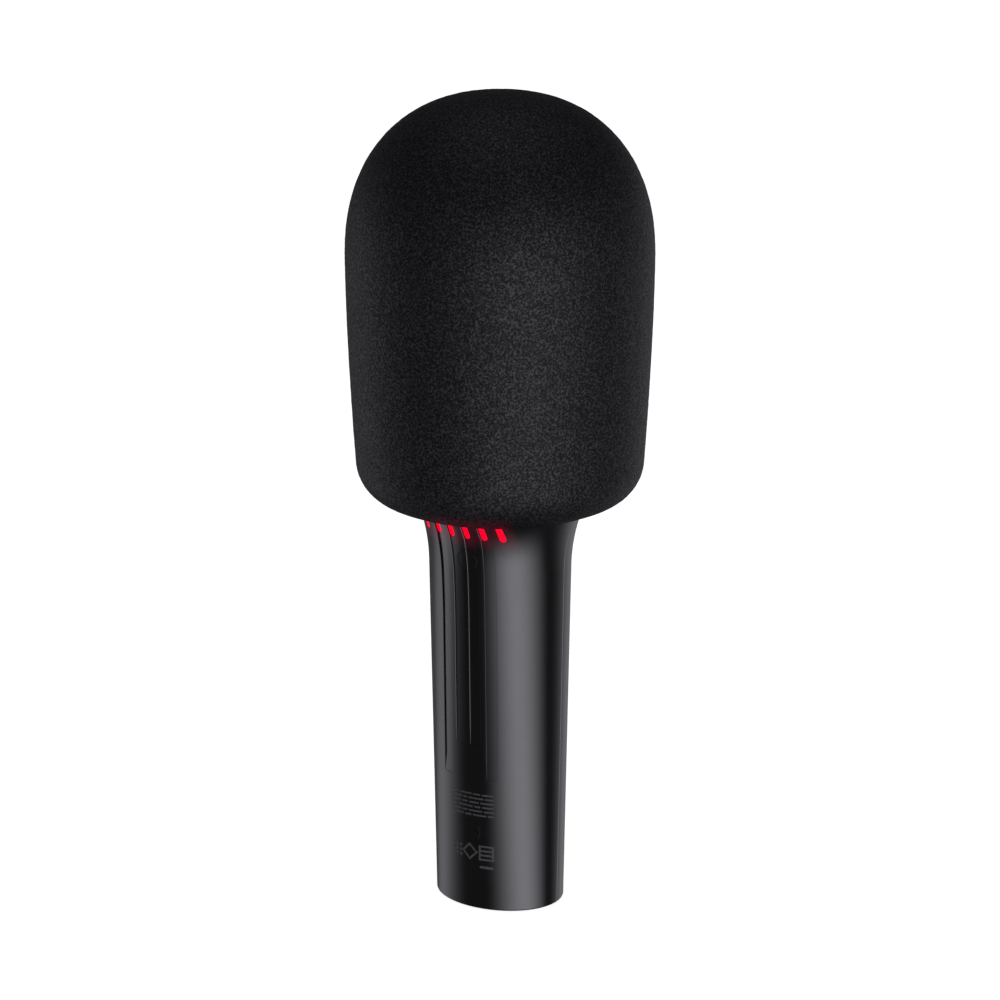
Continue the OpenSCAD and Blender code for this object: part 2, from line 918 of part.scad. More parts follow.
// End plate with a tongue that both shells grip
module bottom_cap() {
    cap_inset = wall + 0.15;
    plate_r = half_w(0) - cap_inset;
    tongue_z = 1;
    color([0.03, 0.03, 0.035])
        difference() {
            scale([1, inset_ratio(cap_inset), 1]) {
                translate([0, 0, -1])
                    cylinder(r = plate_r, h = cap_t + 1);
                translate([0, 0, tongue_z])
                    cylinder(r = plate_r + 1, h = 1);
            }
            translate([-big / 2, -big / 2, -big])
                cube(big);
            translate([port_x, usb_y, -1])
                linear_extrude(5)
                    stadium(usb_w + 0.3, usb_h + 0.3);
            post(-port_x, jack_y, 3, -1, 5);
        }
}

module port_board() {
    color([0.08, 0.25, 0.12])
        difference() {
            translate([-14.6, -0.6, 4.5])
                cube([29.2, 1.2, 14]);
            for (p = board_posts())
                bar_y(p[0], p[1], 1, -2, 2);
        }
}

// Metal shell of the charging socket, open downwards
module charging_port() {
    depth = 7.35;
    shell_t = 0.3;
    color([0.7, 0.7, 0.72])
        translate([port_x, usb_y, 0.5])
            difference() {
                linear_extrude(depth)
                    stadium(usb_w, usb_h);
                translate([0, 0, -1])
                    linear_extrude(depth + 0.2)
                        stadium(usb_w - 2 * shell_t, usb_h - 2 * shell_t);
            }
}

module charging_port_tongue() {
    color([0.05, 0.05, 0.05])
        translate([port_x - 3.34, usb_y - 0.35, 1.4])
            cube([6.68, 0.7, 5.65]);
}

// Audio socket with a true round bore, open downwards
module aux_jack() {
    color([0.06, 0.06, 0.06])
        difference() {
            union() {
                translate([-port_x - 3.2, jack_y - 2.6, cap_t + 0.1])
                    cube([6.4, 5.35, 12]);
                post(-port_x, jack_y, 2.9, 0.3, cap_t + 1);
            }
            post(-port_x, jack_y, jack_bore_r, -1, 13.3);
        }
}

// ---- fasteners ----

// Pan-head screw whose head sits at the origin and whose shank runs down -Z
module screw(shank_r, length, head_r, head_h) {
    difference() {
        union() {
            translate([0, 0, -length])
                cylinder(r = shank_r, h = length + 0.1);
            cylinder(r = head_r, h = head_h);
        }
        translate([0, 0, head_h * 0.45]) {
            for (a = [0, 90])
                rotate([0, 0, a])
                    translate([-head_r * 0.6, -head_r * 0.14, 0])
                        cube([head_r * 1.2, head_r * 0.28, head_h]);
        }
    }
}

screw_color = [0.55, 0.55, 0.57];

module shell_screws() {
    color(screw_color)
        for (z = shell_screw_z)
            translate([0, head_seat_y, z])
                rotate([-90, 0, 0])
                    screw(1.2, 20, 2.4, 1.6);
}

// Round covers over the shell screws, flush with the back of the handle
module screw_plugs() {
    color([0.025, 0.025, 0.03])
        for (z = shell_screw_z)
            difference() {
                intersection() {
                    bar_y(0, z, plug_r - 0.08, head_seat_y + plug_t + 0.4, 40);
                    handle_outside();
                }
                grooves();
            }
}

module cage_screws() {
    color(screw_color)
        ring_of([45:90:315], cage_screw_r)
            translate([0, 0, neck_top + 1.6])
                rotate([180, 0, 0])
                    screw(1, 6, 2, 1.3);
}

module chamber_screws() {
    color(screw_color)
        ring_of([0:120:240], chamber_screw_r)
            translate([0, 0, chamber_low_z + 2])
                screw(1.1, 5, 2.1, 1.4);
}

module speaker_screws() {
    color(screw_color)
        ring_of([30:120:270], speaker_screw_r)
            translate([0, 0, frame_z + frame_t + 2])
                screw(0.9, 8, 1.6, 1.3);
}

module board_screws() {
    color(screw_color)
        for (p = board_posts())
            translate([p[0], p[2] + board_t, p[1]])
                rotate([-90, 0, 0])
                    screw(0.9, 5, 1.7, 1.1);
}

module bracket_screws() {
    color(screw_color)
        for (s = [-1, 1])
            translate([s * bracket_post[0], bracket_y, bracket_post[2]])
                rotate([90, 0, 0])
                    screw(0.95, 7, 1.8, 1.2);
}

foam_windscreen();
grille_cage();
grille_mesh();
mic_tower();
mic_holder();
mic_capsule();
speaker_frame();
speaker_top_plate();
speaker_magnet();
speaker_yoke();
voice_coil();
speaker_spider();
speaker_cone();
dust_cap();
speaker_surround();
speaker_gasket();
speaker_chamber();
head_base();
light_guide();
led_board();
slot_leds();
handle_rear_shell();
handle_front_shell();
control_panel();
power_button();
mode_button();
volume_down_button();
volume_up_button();
echo_button();
power_plunger();
mode_plunger();
volume_down_plunger();
volume_up_plunger();
echo_plunger();
switch_bodies();
main_board();
board_parts();
battery_cell();
battery_pads();
battery_bracket();
bottom_cap();
port_board();
charging_port();
charging_port_tongue();
aux_jack();
shell_screws();
screw_plugs();
cage_screws();
chamber_screws();
speaker_screws();
board_screws();
bracket_screws();
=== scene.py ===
"""Looks of the cordless karaoke microphone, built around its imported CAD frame. Metres, +Z up.

The buttons face -Y and the lit slots face +Y. Sizes are those of the CAD part, in millimetres times MM.
"""
import math

import bmesh
import bpy
import numpy as np
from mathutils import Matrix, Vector, noise


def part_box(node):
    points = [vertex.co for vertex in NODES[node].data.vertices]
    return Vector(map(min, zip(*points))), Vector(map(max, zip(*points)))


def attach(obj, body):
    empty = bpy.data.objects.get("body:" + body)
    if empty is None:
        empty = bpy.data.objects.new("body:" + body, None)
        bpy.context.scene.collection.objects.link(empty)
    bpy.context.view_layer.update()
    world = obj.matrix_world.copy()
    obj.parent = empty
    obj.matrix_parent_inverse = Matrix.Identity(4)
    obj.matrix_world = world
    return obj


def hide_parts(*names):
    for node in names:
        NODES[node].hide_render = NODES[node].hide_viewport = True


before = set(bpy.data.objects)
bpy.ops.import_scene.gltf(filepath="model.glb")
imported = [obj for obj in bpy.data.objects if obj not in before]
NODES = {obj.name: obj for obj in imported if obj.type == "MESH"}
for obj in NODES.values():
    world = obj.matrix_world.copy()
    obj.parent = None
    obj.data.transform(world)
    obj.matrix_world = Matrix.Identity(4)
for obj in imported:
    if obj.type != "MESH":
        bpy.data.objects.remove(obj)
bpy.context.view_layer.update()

MM = 0.001

# ---- sizes ----

# Handle
NECK_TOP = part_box("handle_rear_shell")[1].z
BASE_HALF_W = 20.7 * MM
TAPER = 0.0186
DEPTH_RATIO = 0.828
REF_HALF_W = 21.9 * MM
FLARE_Z = 107.2 * MM
FLARE_R = 52 * MM
WALL = 2 * MM
BASE_ROUND = 0.5 * MM
SEAM_BEVEL = 0.15 * MM
FLANGE_T = 2.2 * MM
SPIGOT_HOLE_R = 13.6 * MM
CAP_TONGUE_Z = (0.9 * MM, 2.1 * MM)
CAP_TONGUE_INSET = 1 * MM
KEY_SIZE = (29.8 * MM, 3.2 * MM)
# Depth ratio that the sheen is shaded with: at the base, and its rise per metre
SHEEN_RATIO = (0.74, 2.9)

# Light slots and their grooves
SLOT_COUNT = 6
SLOT_PITCH = 5.58 * MM
SLOT_SHIFT = 1.8 * MM
SLOT_W = 1.9 * MM
SLOT_Z = 118.9 * MM
SLOT_LEN = 6.4 * MM
SLOT_LEAN = 0.23
SLOT_STEP = 0.15 * MM
GROOVE_PITCH = 5.27 * MM
GROOVE_SHIFT = 0.35 * MM
BEND_Z = 92 * MM
GROOVE_W = 3.4 * MM
GROOVE_DEPTH = 0.44 * MM
INNER_GROOVE_Z = 53.6 * MM
OUTER_GROOVE_Z = 42.7 * MM
# Bevel of a groove's edge, and its depth at its low end, as shares of its depth
GROOVE_BEVEL = 0.19
GROOVE_END = 0.28
RUN_OUT = 6 * MM
# How far a groove's floor is shaded as curved: 0 is flat, 1 is like the skin round it
FLOOR_CURVE = 0.8

# Screws and posts inside the handle
SHELL_SCREW_Z = (25.2 * MM, 111.8 * MM)
PLUG_R = 3.5 * MM
PLUG_GAP = 0.08 * MM
PLUG_LOW_Y = 14 * MM
HEAD_SEAT_Y = 12 * MM
BOSS_R = 4.8 * MM
POST_R = 3 * MM
BOARD_POST_R = 2.2 * MM
BOARD_POSTS = [(s * 10.4 * MM, z * MM, -9.2 * MM) for s in (-1, 1) for z in (34, 101)]
PORT_POSTS = [(s * 12.6 * MM, 14.5 * MM, -0.6 * MM) for s in (-1, 1)]
BRACKET_POSTS = [(s * 13.4 * MM, 64 * MM, -1.95 * MM) for s in (-1, 1)]

# Controls
POWER_Z = 49 * MM
BUTTON_PITCH = 12.5 * MM
BUTTONS = ("power", "mode", "volume_down", "volume_up", "echo")
BUTTON_Z = [POWER_Z + i * BUTTON_PITCH for i in range(len(BUTTONS))]
BUTTON_R = [5.2 * MM] + [4.3 * MM] * 4
PANEL_HALF_W = 8.2 * MM
PANEL_T = 1 * MM

# Foam and the basket under it
FOAM_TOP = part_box("foam_windscreen")[1].z
FOAM_R = 45.98 * MM
FOAM_SHOULDER_Z = 200.8 * MM
FOAM_LOW_R = 43.45 * MM
FOAM_BOW = 1.6
FOAM_EDGE_Z = 139 * MM
FOAM_EDGE_R = 13.5 * MM
FOAM_EDGE_TURN = math.radians(63.5)
FOAM_UNDER_R = 80 * MM
FOAM_TOP_T = 13.5 * MM
FOAM_IN_R = 31.45 * MM
LIP_R = 27.2 * MM
LIP_ROUND = 0.6 * MM
DOME_POWER = 2.265
CAGE_SHOULDER_Z = 200 * MM

# Camera, as a direction round the object
VIEW_AZIMUTH = math.radians(211.85)
VIEW_ELEVATION = math.radians(14.97)
VIEW_DISTANCE = 883.2 * MM
VIEW_TARGET = Vector((0, 0, 126.3 * MM))
LENS_MM = 105


# ---- camera, floor and light ----

def direction(azimuth, elevation):
    """Unit vector from the object towards a view: azimuth 0 stands at -Y."""
    flat = math.cos(elevation)
    return Vector((math.sin(azimuth) * flat, -math.cos(azimuth) * flat, math.sin(elevation)))


def add_camera():
    data = bpy.data.cameras.new("camera")
    data.lens = LENS_MM
    camera = bpy.data.objects.new("camera", data)
    towards = direction(VIEW_AZIMUTH, VIEW_ELEVATION)
    camera.location = VIEW_TARGET + towards * VIEW_DISTANCE
    camera.rotation_euler = towards.to_track_quat("Z", "Y").to_euler()
    bpy.context.scene.collection.objects.link(camera)
    bpy.context.scene.camera = camera
    bpy.context.scene.view_settings.view_transform = "Standard"


# ---- shader helpers ----

class Nodes:
    """Short calls to add and join the nodes of one shader."""

    def __init__(self, tree):
        self.tree = tree
        self.tree.nodes.clear()

    def add(self, kind, values=None, **settings):
        node = self.tree.nodes.new(kind)
        for key, value in settings.items():
            setattr(node, key, value)
        for key, value in (values or {}).items():
            self.put(node.inputs[key], value)
        return node

    def put(self, socket, value):
        """Joins a socket to an output, or sets its value."""
        if isinstance(value, bpy.types.NodeSocket):
            self.tree.links.new(value, socket)
        elif value is not None:
            socket.default_value = value

    def math(self, operation, a, b=None, c=None, clamp=False):
        node = self.add("ShaderNodeMath", operation=operation, use_clamp=clamp)
        for socket, value in zip(node.inputs, (a, b, c)):
            self.put(socket, value)
        return node.outputs[0]

    def dot(self, a, b):
        node = self.add("ShaderNodeVectorMath", {0: a, 1: b}, operation="DOT_PRODUCT")
        return node.outputs["Value"]

    def ramp(self, value, low, high, at_low=0.0, at_high=1.0, smooth=True):
        """Goes from at_low to at_high as value goes from low to high."""
        node = self.add(
            "ShaderNodeMapRange",
            {"Value": value, "From Min": low, "From Max": high, "To Min": at_low, "To Max": at_high},
            interpolation_type="SMOOTHSTEP" if smooth else "LINEAR",
        )
        return node.outputs["Result"]

    def mix(self, factor, a, b):
        node = self.add("ShaderNodeMix", {"Factor": factor, 6: a, 7: b}, data_type="RGBA")
        return node.outputs[2]

    def place(self, stretch=(1, 1, 1)):
        """Position in the object's own frame, in metres, stretched along the axes."""
        source = self.add("ShaderNodeTexCoord").outputs["Object"]
        if stretch == (1, 1, 1):
            return source
        node = self.add("ShaderNodeVectorMath", {0: source, 1: stretch}, operation="MULTIPLY")
        return node.outputs[0]

    def noise(self, size, detail=2.0, rough=0.5, place=None):
        """Cloudy noise whose features are about size metres across."""
        node = self.add(
            "ShaderNodeTexNoise",
            {"Vector": place or self.place(), "Scale": 1 / size, "Detail": detail, "Roughness": rough},
        )
        return node.outputs["Fac"]

    def cells(self, size, feature="F1", randomness=1.0, place=None):
        """Distance inside random cells of about size metres."""
        node = self.add(
            "ShaderNodeTexVoronoi",
            {"Vector": place or self.place(), "Scale": 1 / size, "Randomness": randomness},
            feature=feature,
        )
        return node.outputs["Distance"]

    def bump(self, height, depth, strength=1.0, after=None):
        """Surface relief of the given depth in metres."""
        node = self.add("ShaderNodeBump", {"Height": height, "Distance": depth, "Strength": strength})
        self.put(node.inputs["Normal"], after)
        return node.outputs["Normal"]

    def surface(self, **inputs):
        """Ends a material with a Principled surface. Input names have _ for a space."""
        shader = self.add("ShaderNodeBsdfPrincipled")
        for key, value in inputs.items():
            self.put(shader.inputs[key.replace("_", " ")], value)
        output = self.add("ShaderNodeOutputMaterial")
        self.put(output.inputs["Surface"], shader.outputs[0])


def new_material(name):
    material = bpy.data.materials.new(name)
    material.use_nodes = True
    return material, Nodes(material.node_tree)


def grey(level, alpha=1.0):
    return (level, level, level, alpha)


# ---- light ----

# Soft panels round the object: angle from the view towards its right, half width, brightness
PANELS = ((19.0, 60, 4.15), (-112.5, 43, 1.01), (130, 48, 0.6))
# Where the panels fade in, from below and from above, by the upward part of a ray
PANEL_LOW = (-0.8, -0.46)
PANEL_HIGH = (0.3, -0.1)
# Light from all round, the share of it that comes from above, and the light overhead
AMBIENT = 0.112
HIGH_AMBIENT = 0.5
TOP_LIGHT = 0.75
TOP_REACH = 0.78
COOL_WHITE = (1.0, 0.985, 1.07, 1)
# White behind the object and on the floor
BACKDROP = 1.0
FLOOR_LIFT = 0.9
# Painted red glow, given as emission, on the neck round the slots and on the foam's lower edge
PAINTED_RED_GLOW = (1.0, 0.0, 0.12, 1)
NECK_GLOW = 0.04
NECK_GLOW_REACH = (5 * MM, 0.9 * MM)
FOAM_GLOW = 0.025
FOAM_GLOW_Z = (132.5 * MM, 128 * MM)
FOAM_GLOW_TURN = ((-0.7, -0.54), (0.08, -0.1))


def add_world():
    """A pale studio: tall soft panels round the object and a soft light above it."""
    world = bpy.data.worlds.new("studio")
    bpy.context.scene.world = world
    world.use_nodes = True
    n = Nodes(world.node_tree)
    ray = n.add("ShaderNodeTexCoord").outputs["Generated"]
    flat = n.add("ShaderNodeVectorMath", {0: ray, 1: (1, 1, 0)}, operation="MULTIPLY").outputs[0]
    flat = n.add("ShaderNodeVectorMath", {0: flat}, operation="NORMALIZE").outputs[0]
    height = n.dot(ray, (0, 0, 1))
    upright = n.math("MULTIPLY", n.ramp(height, *PANEL_LOW), n.ramp(height, *PANEL_HIGH))
    light = n.ramp(height, 0.0, 0.4, AMBIENT, AMBIENT * HIGH_AMBIENT)
    light = n.math("ADD", light, n.ramp(height, TOP_REACH, 1.0, 0.0, TOP_LIGHT))
    for angle, half_width, level in PANELS:
        middle = direction(VIEW_AZIMUTH + math.radians(angle), 0)
        off = n.math("ARCCOSINE", n.dot(flat, tuple(middle)))
        panel = n.ramp(off, math.radians(half_width), 0.0, 0.0, level)
        light = n.math("MULTIPLY_ADD", panel, upright, light)
    studio = n.add("ShaderNodeBackground", {"Color": COOL_WHITE, "Strength": light})
    plain = n.add("ShaderNodeBackground", {"Color": grey(1), "Strength": BACKDROP})
    seen = n.add("ShaderNodeLightPath").outputs["Is Camera Ray"]
    both = n.add("ShaderNodeMixShader", {0: seen, 1: studio.outputs[0], 2: plain.outputs[0]})
    output = n.add("ShaderNodeOutputWorld")
    n.put(output.inputs["Surface"], both.outputs[0])


def add_floor():
    """Plain pale floor. The object's gloss doesn't mirror it."""
    half = 12.0
    drop = 0.2 * MM
    mesh = bpy.data.meshes.new("floor")
    corners = [(-half, -half, -drop), (half, -half, -drop), (half, half, -drop), (-half, half, -drop)]
    mesh.from_pydata(corners, [], [(0, 1, 2, 3)])
    floor = bpy.data.objects.new("floor", mesh)
    bpy.context.scene.collection.objects.link(floor)
    material, n = new_material("pale_floor")
    n.surface(Base_Color=grey(0.9), Roughness=1.0, Specular_IOR_Level=0.0,
              Emission_Color=grey(1), Emission_Strength=FLOOR_LIFT)
    mesh.materials.append(material)
    floor.visible_glossy = False
    floor.visible_diffuse = False


# ---- form of the handle ----

def flare(z):
    rise = np.clip(z - FLARE_Z, 0, FLARE_R)
    return FLARE_R - np.sqrt(FLARE_R ** 2 - rise ** 2)


def half_w(z):
    return BASE_HALF_W + TAPER * z + flare(z)


def widening(z):
    """Change of the half width per metre of height."""
    rise = np.clip(z - FLARE_Z, 0, 0.99 * FLARE_R)
    return TAPER + rise / np.sqrt(FLARE_R ** 2 - rise ** 2)


def inset_ratio(inset):
    """Depth as a share of width, on the form that lies inset inside the handle."""
    return (DEPTH_RATIO * REF_HALF_W - inset) / (REF_HALF_W - inset)


def depth_at(x, z, inset=0.0):
    a = half_w(z) - inset
    return a * inset_ratio(inset) * np.sqrt(np.clip(1 - (x / a) ** 2, 0, 1))


def handle_normal(points, ratio=DEPTH_RATIO):
    """Outward normals of the handle's outside at points on it."""
    x, y, z = points.T
    a = half_w(z)
    b = a * ratio
    y = y * ratio / DEPTH_RATIO
    growth = widening(z)
    spread = (x ** 2 / a ** 3 + y ** 2 * ratio / b ** 3) * growth
    normals = np.stack([x / a ** 2, y / b ** 2, -spread], axis=1)
    return normals / np.linalg.norm(normals, axis=1)[:, None]


def sheen_normal(points):
    """Normals for the sheen: those of a section that grows rounder towards the neck."""
    low, rise = SHEEN_RATIO
    return handle_normal(points, low + rise * points[:, 2])


def handle_offset(points):
    """How far points lie outside the handle's form, measured across it."""
    x, y, z = points.T
    a = half_w(z)
    return (np.hypot(x / a, y / (a * DEPTH_RATIO)) - 1) * a


def slot_x(i, z):
    """Middle of a slot at a height."""
    return SLOT_SHIFT + ((SLOT_COUNT - 1) / 2 - i) * SLOT_PITCH + SLOT_LEAN * (z - SLOT_Z)


def groove_x(i, z):
    """Middle of a groove at a height: straight up the handle, then bending towards its slot."""
    low = GROOVE_SHIFT + ((SLOT_COUNT - 1) / 2 - i) * GROOVE_PITCH
    top = slot_x(i, np.maximum(z, SLOT_Z)) - (GROOVE_W - SLOT_W) / 2 + SLOT_STEP
    turn = np.clip((z - BEND_Z) / (SLOT_Z - BEND_Z), 0, 1)
    return low + (top - low) * turn ** 2


# ---- mesh helpers ----

def new_object(name, vertices, faces, material=None):
    mesh = bpy.data.meshes.new(name)
    mesh.from_pydata([tuple(v) for v in vertices], [], [tuple(f) for f in faces])
    obj = bpy.data.objects.new(name, mesh)
    bpy.context.scene.collection.objects.link(obj)
    if material:
        mesh.materials.append(material)
    return obj


def levels(low, high, step):
    """Evenly spaced values from low to high, no more than step apart."""
    return list(np.linspace(low, high, max(2, math.ceil((high - low) / step) + 1)))


def handle_levels(low, high):
    """Heights of the rows of a handle form: close together in the flare."""
    if high <= FLARE_Z:
        return levels(low, high, 4 * MM)
    return levels(low, FLARE_Z, 4 * MM)[:-1] + levels(FLARE_Z, high, 0.9 * MM)


def bridge(rings, closed_loop=False):
    """Quads between consecutive rings, each a list of vertex numbers; the rings are closed."""
    faces = []
    pairs = zip(rings, rings[1:] + ([rings[0]] if closed_loop else []))
    for low, high in pairs:
        count = len(low)
        faces += [(low[k], low[(k + 1) % count], high[(k + 1) % count], high[k]) for k in range(count)]
    return faces


def loft(name, sections, material=None):
    """Closed solid through a list of sections, each a closed outline with the same number of points."""
    count = len(sections[0])
    vertices = [p for section in sections for p in section]
    rings = [list(range(k * count, (k + 1) * count)) for k in range(len(sections))]
    faces = bridge(rings) + [tuple(reversed(rings[0])), tuple(rings[-1])]
    obj = new_object(name, vertices, faces, material)
    outward(obj)
    return obj


def outward(obj):
    """Turns every face of a closed mesh outwards."""
    build = bmesh.new()
    build.from_mesh(obj.data)
    bmesh.ops.recalc_face_normals(build, faces=build.faces)
    build.to_mesh(obj.data)
    build.free()


def circle(radius, count):
    turn = 2 * math.pi / count
    return [(radius * math.cos(turn * k), radius * math.sin(turn * k)) for k in range(count)]


def along_y(name, outline, y0, y1):
    """Solid with an outline drawn in X and Z, from y0 to y1."""
    return loft(name, [[(x, y, z) for x, z in outline] for y in (y0, y1)])


def bar_y(x, z, radius, y0, y1, count=64):
    """Round bar along Y."""
    return along_y("bar", [(x + u, z + v) for u, v in circle(radius, count)], y0, y1)


def handle_form(inset, z0, z1, columns=144):
    """The handle's oval form, moved inwards by inset, between two heights."""
    sections = []
    for z in handle_levels(z0, z1):
        a = half_w(z) - inset
        sections.append([(u, v * inset_ratio(inset), z) for u, v in circle(a, columns)])
    return loft("form", sections)


def combine(obj, tools, operation):
    """Joins, cuts or trims obj with other solids, which are then gone."""
    for tool in tools:
        step = obj.modifiers.new("combine", "BOOLEAN")
        step.solver = "EXACT"
        step.operation = operation
        step.object = tool
        bpy.context.view_layer.objects.active = obj
        bpy.ops.object.modifier_apply(modifier=step.name)
        bpy.data.objects.remove(tool)
    return obj


def joined(objects):
    """One object out of several."""
    first = objects[0]
    build = bmesh.new()
    for obj in objects:
        build.from_mesh(obj.data)
    build.to_mesh(first.data)
    build.free()
    for obj in objects[1:]:
        bpy.data.objects.remove(obj)
    return first


def shade_on_form(obj, floors=False):
    """Gives faces that lie on the handle's outside its true normals, and leaves every other edge crisp."""
    mesh = obj.data
    mesh.polygons.foreach_set("use_smooth", [True] * len(mesh.polygons))
    points = np.empty(len(mesh.vertices) * 3)
    mesh.vertices.foreach_get("co", points)
    points = points.reshape(-1, 3)
    corner = np.empty(len(mesh.loops), int)
    mesh.loops.foreach_get("vertex_index", corner)
    sizes = np.empty(len(mesh.polygons), int)
    mesh.polygons.foreach_get("loop_total", sizes)
    facing = np.empty(len(mesh.polygons) * 3)
    mesh.polygons.foreach_get("normal", facing)
    facing = facing.reshape(-1, 3)
    face = np.repeat(np.arange(len(sizes)), sizes)
    normals = facing[face]
    spots = points[corner]
    starts = np.concatenate([[0], np.cumsum(sizes)[:-1]])
    ideal = handle_normal(spots)
    along = np.sum(ideal * normals, axis=1)
    off = handle_offset(spots)
    far = np.maximum.reduceat(np.abs(off), starts)
    lowest = np.minimum.reduceat(spots[:, 2], starts)
    turned = np.minimum.reduceat(along, starts)
    outside = (far < 0.04 * MM) & (turned > 0.94) & (lowest > BASE_ROUND - 1e-6)
    sheen = sheen_normal(spots)
    normals = np.where(outside[face][:, None], sheen, normals)
    if floors:
        sunk = np.maximum.reduceat(off, starts)
        floor = (sunk < -0.042 * MM) & (far < 0.7 * MM) & (turned > 0.94) & (spots[starts, 1] > 0)
        aside = [np.abs(spots[:, 0] - groove_x(i, spots[:, 2])) for i in range(SLOT_COUNT)]
        middle = groove_x(np.argmin(aside, axis=0), spots[:, 2])
        centre = np.stack([middle, depth_at(middle, spots[:, 2]), spots[:, 2]], axis=1)
        gentle = FLOOR_CURVE * sheen + (1 - FLOOR_CURVE) * sheen_normal(centre)
        normals = np.where(floor[face][:, None], gentle, normals)
    mesh.normals_split_custom_set([tuple(v) for v in normals])


# ---- handle shells ----

def shell_rings():
    """Rings of a shell's wall round its section: (inset or None, radius or None, height, is outside)."""
    rings = []
    for degrees in range(0, 90, 18):
        angle = math.radians(degrees)
        inset = BASE_ROUND * (1 - math.sin(angle))
        rings.append((inset, None, BASE_ROUND * (1 - math.cos(angle)), True))
    rings += [(0.0, None, z, True) for z in handle_levels(BASE_ROUND, NECK_TOP)]
    flange_low = NECK_TOP - FLANGE_T
    rings += [(None, SPIGOT_HOLE_R, z, False) for z in (NECK_TOP, flange_low)]
    rings += [(WALL, None, z, False) for z in reversed(handle_levels(CAP_TONGUE_Z[1], flange_low))]
    rings += [(CAP_TONGUE_INSET, None, z, False) for z in reversed(CAP_TONGUE_Z)]
    rings += [(WALL, None, z, False) for z in (CAP_TONGUE_Z[0], 0.0)]
    return rings


def half_shell(side, columns=120):
    """Wall, neck flange and end-cap groove of the back (side 1) or front (side -1) shell."""
    seam_turn = SEAM_BEVEL / BASE_HALF_W
    turns = [0.0] + list(np.linspace(seam_turn, math.pi - seam_turn, columns)) + [math.pi]
    rings = shell_rings()
    vertices = []
    for k, turn in enumerate(turns):
        at_seam = k in (0, len(turns) - 1)
        for inset, radius, z, is_outside in rings:
            if radius is None:
                bevel = SEAM_BEVEL if at_seam and is_outside else 0.0
                radius = half_w(z) - inset - bevel
                squeeze = inset_ratio(inset)
            else:
                squeeze = 1.0
            vertices.append((radius * math.cos(turn), side * radius * squeeze * math.sin(turn), z))
    count = len(rings)
    sections = [list(range(k * count, (k + 1) * count)) for k in range(len(turns))]
    faces = bridge(sections) + [tuple(reversed(sections[0])), tuple(sections[-1])]
    shell = new_object("shell", vertices, faces)
    outward(shell)
    return shell


def bosses(posts):
    """Round posts inside a shell, trimmed to the middle of its wall: (x, z, radius, y0, y1) each."""
    bars = [bar_y(*post, count=48) for post in posts]
    first = combine(bars[0], bars[1:], "UNION")
    return combine(first, [handle_form(WALL / 2, -1 * MM, NECK_TOP - 1 * MM, 96)], "INTERSECT")


def groove_cutter(i):
    """Flat-floored channel over one groove. Its edges are bevelled, it runs out at its low end, and it
    bends towards its slot at the top."""
    low = OUTER_GROOVE_Z if i in (1, SLOT_COUNT - 2) else INNER_GROOVE_Z
    clear = 3 * MM
    sections = []
    heights = levels(low, low + RUN_OUT, 1 * MM)[:-1]
    heights += levels(low + RUN_OUT, BEND_Z, 5 * MM)[:-1]
    heights += levels(BEND_Z, SLOT_Z, 2 * MM)[:-1]
    heights += levels(SLOT_Z, NECK_TOP + 1 * MM, 0.8 * MM)
    for z in heights:
        x = groove_x(i, z)
        height = min(z, NECK_TOP)
        centre = np.array([[x, depth_at(x, height), height]])
        normal = handle_normal(centre)[0]
        depth = GROOVE_DEPTH * float(np.interp(z, (low, low + RUN_OUT), (GROOVE_END, 1)))
        centre = centre[0] - normal * depth
        slope = -normal[0] / normal[1]
        section = []
        for side in (-1, 1):
            u = x + side * GROOVE_W / 2
            edge = np.array([[u, depth_at(u, height), height]])
            out = handle_normal(edge)[0][:2]
            out /= np.linalg.norm(out)
            flare_out = out + side * np.array([out[1], -out[0]])
            wall_top = edge[0][:2] - np.array([0, GROOVE_BEVEL * depth / out[1]])
            far = wall_top + flare_out * clear
            column = [(u, centre[1] + slope * (u - centre[0]), z), (*wall_top, z), (*far, z)]
            section += column[::-1] if side < 0 else column
        sections.append(section)
    return loft("groove", sections)


def slot_outline(i, grow):
    """Round-ended outline of one slot, leaning sideways; grow makes it wider all round."""
    radius = SLOT_W / 2 + grow
    points = []
    for end, start in ((SLOT_Z + SLOT_LEN - SLOT_W / 2, 0.0), (SLOT_Z + SLOT_W / 2, math.pi)):
        for k in range(24):
            turn = start + math.pi * k / 23
            points.append((slot_x(i, end) + radius * math.cos(turn), end + radius * math.sin(turn)))
    return points


def stadium(radius, low, high):
    """Upright outline with round ends."""
    points = []
    for middle, start in ((high, 0.0), (low, math.pi)):
        for k in range(32):
            turn = start + math.pi * k / 31
            points.append((radius * math.cos(turn), middle + radius * math.sin(turn)))
    return points


def rear_shell(material):
    shell = half_shell(1)
    posts = [(0, z, BOSS_R, HEAD_SEAT_Y - 3 * MM, 30 * MM) for z in SHELL_SCREW_Z]
    posts += [(0, z, POST_R, 0, 30 * MM) for z in SHELL_SCREW_Z]
    posts += [(x, z, BOARD_POST_R, y, 30 * MM) for x, z, y in BRACKET_POSTS]
    combine(shell, [bosses(posts)], "UNION")
    combine(shell, [joined([groove_cutter(i) for i in range(1, SLOT_COUNT - 1)])], "DIFFERENCE")
    holes = [along_y("slot", slot_outline(i, 0), 9 * MM, 40 * MM) for i in range(SLOT_COUNT)]
    holes += [bar_y(0, z, PLUG_R, HEAD_SEAT_Y, 40 * MM, 96) for z in SHELL_SCREW_Z]
    combine(shell, [joined(holes)], "DIFFERENCE")
    bores = [bar_y(0, z, 1.4 * MM, -1 * MM, 14 * MM, 32) for z in SHELL_SCREW_Z]
    bores += [bar_y(x, z, 1 * MM, -5 * MM, 6 * MM, 32) for x, z, _ in BRACKET_POSTS]
    combine(shell, [joined(bores)], "DIFFERENCE")
    return finish_shell(shell, "rear_shell", "handle_rear_shell", material)


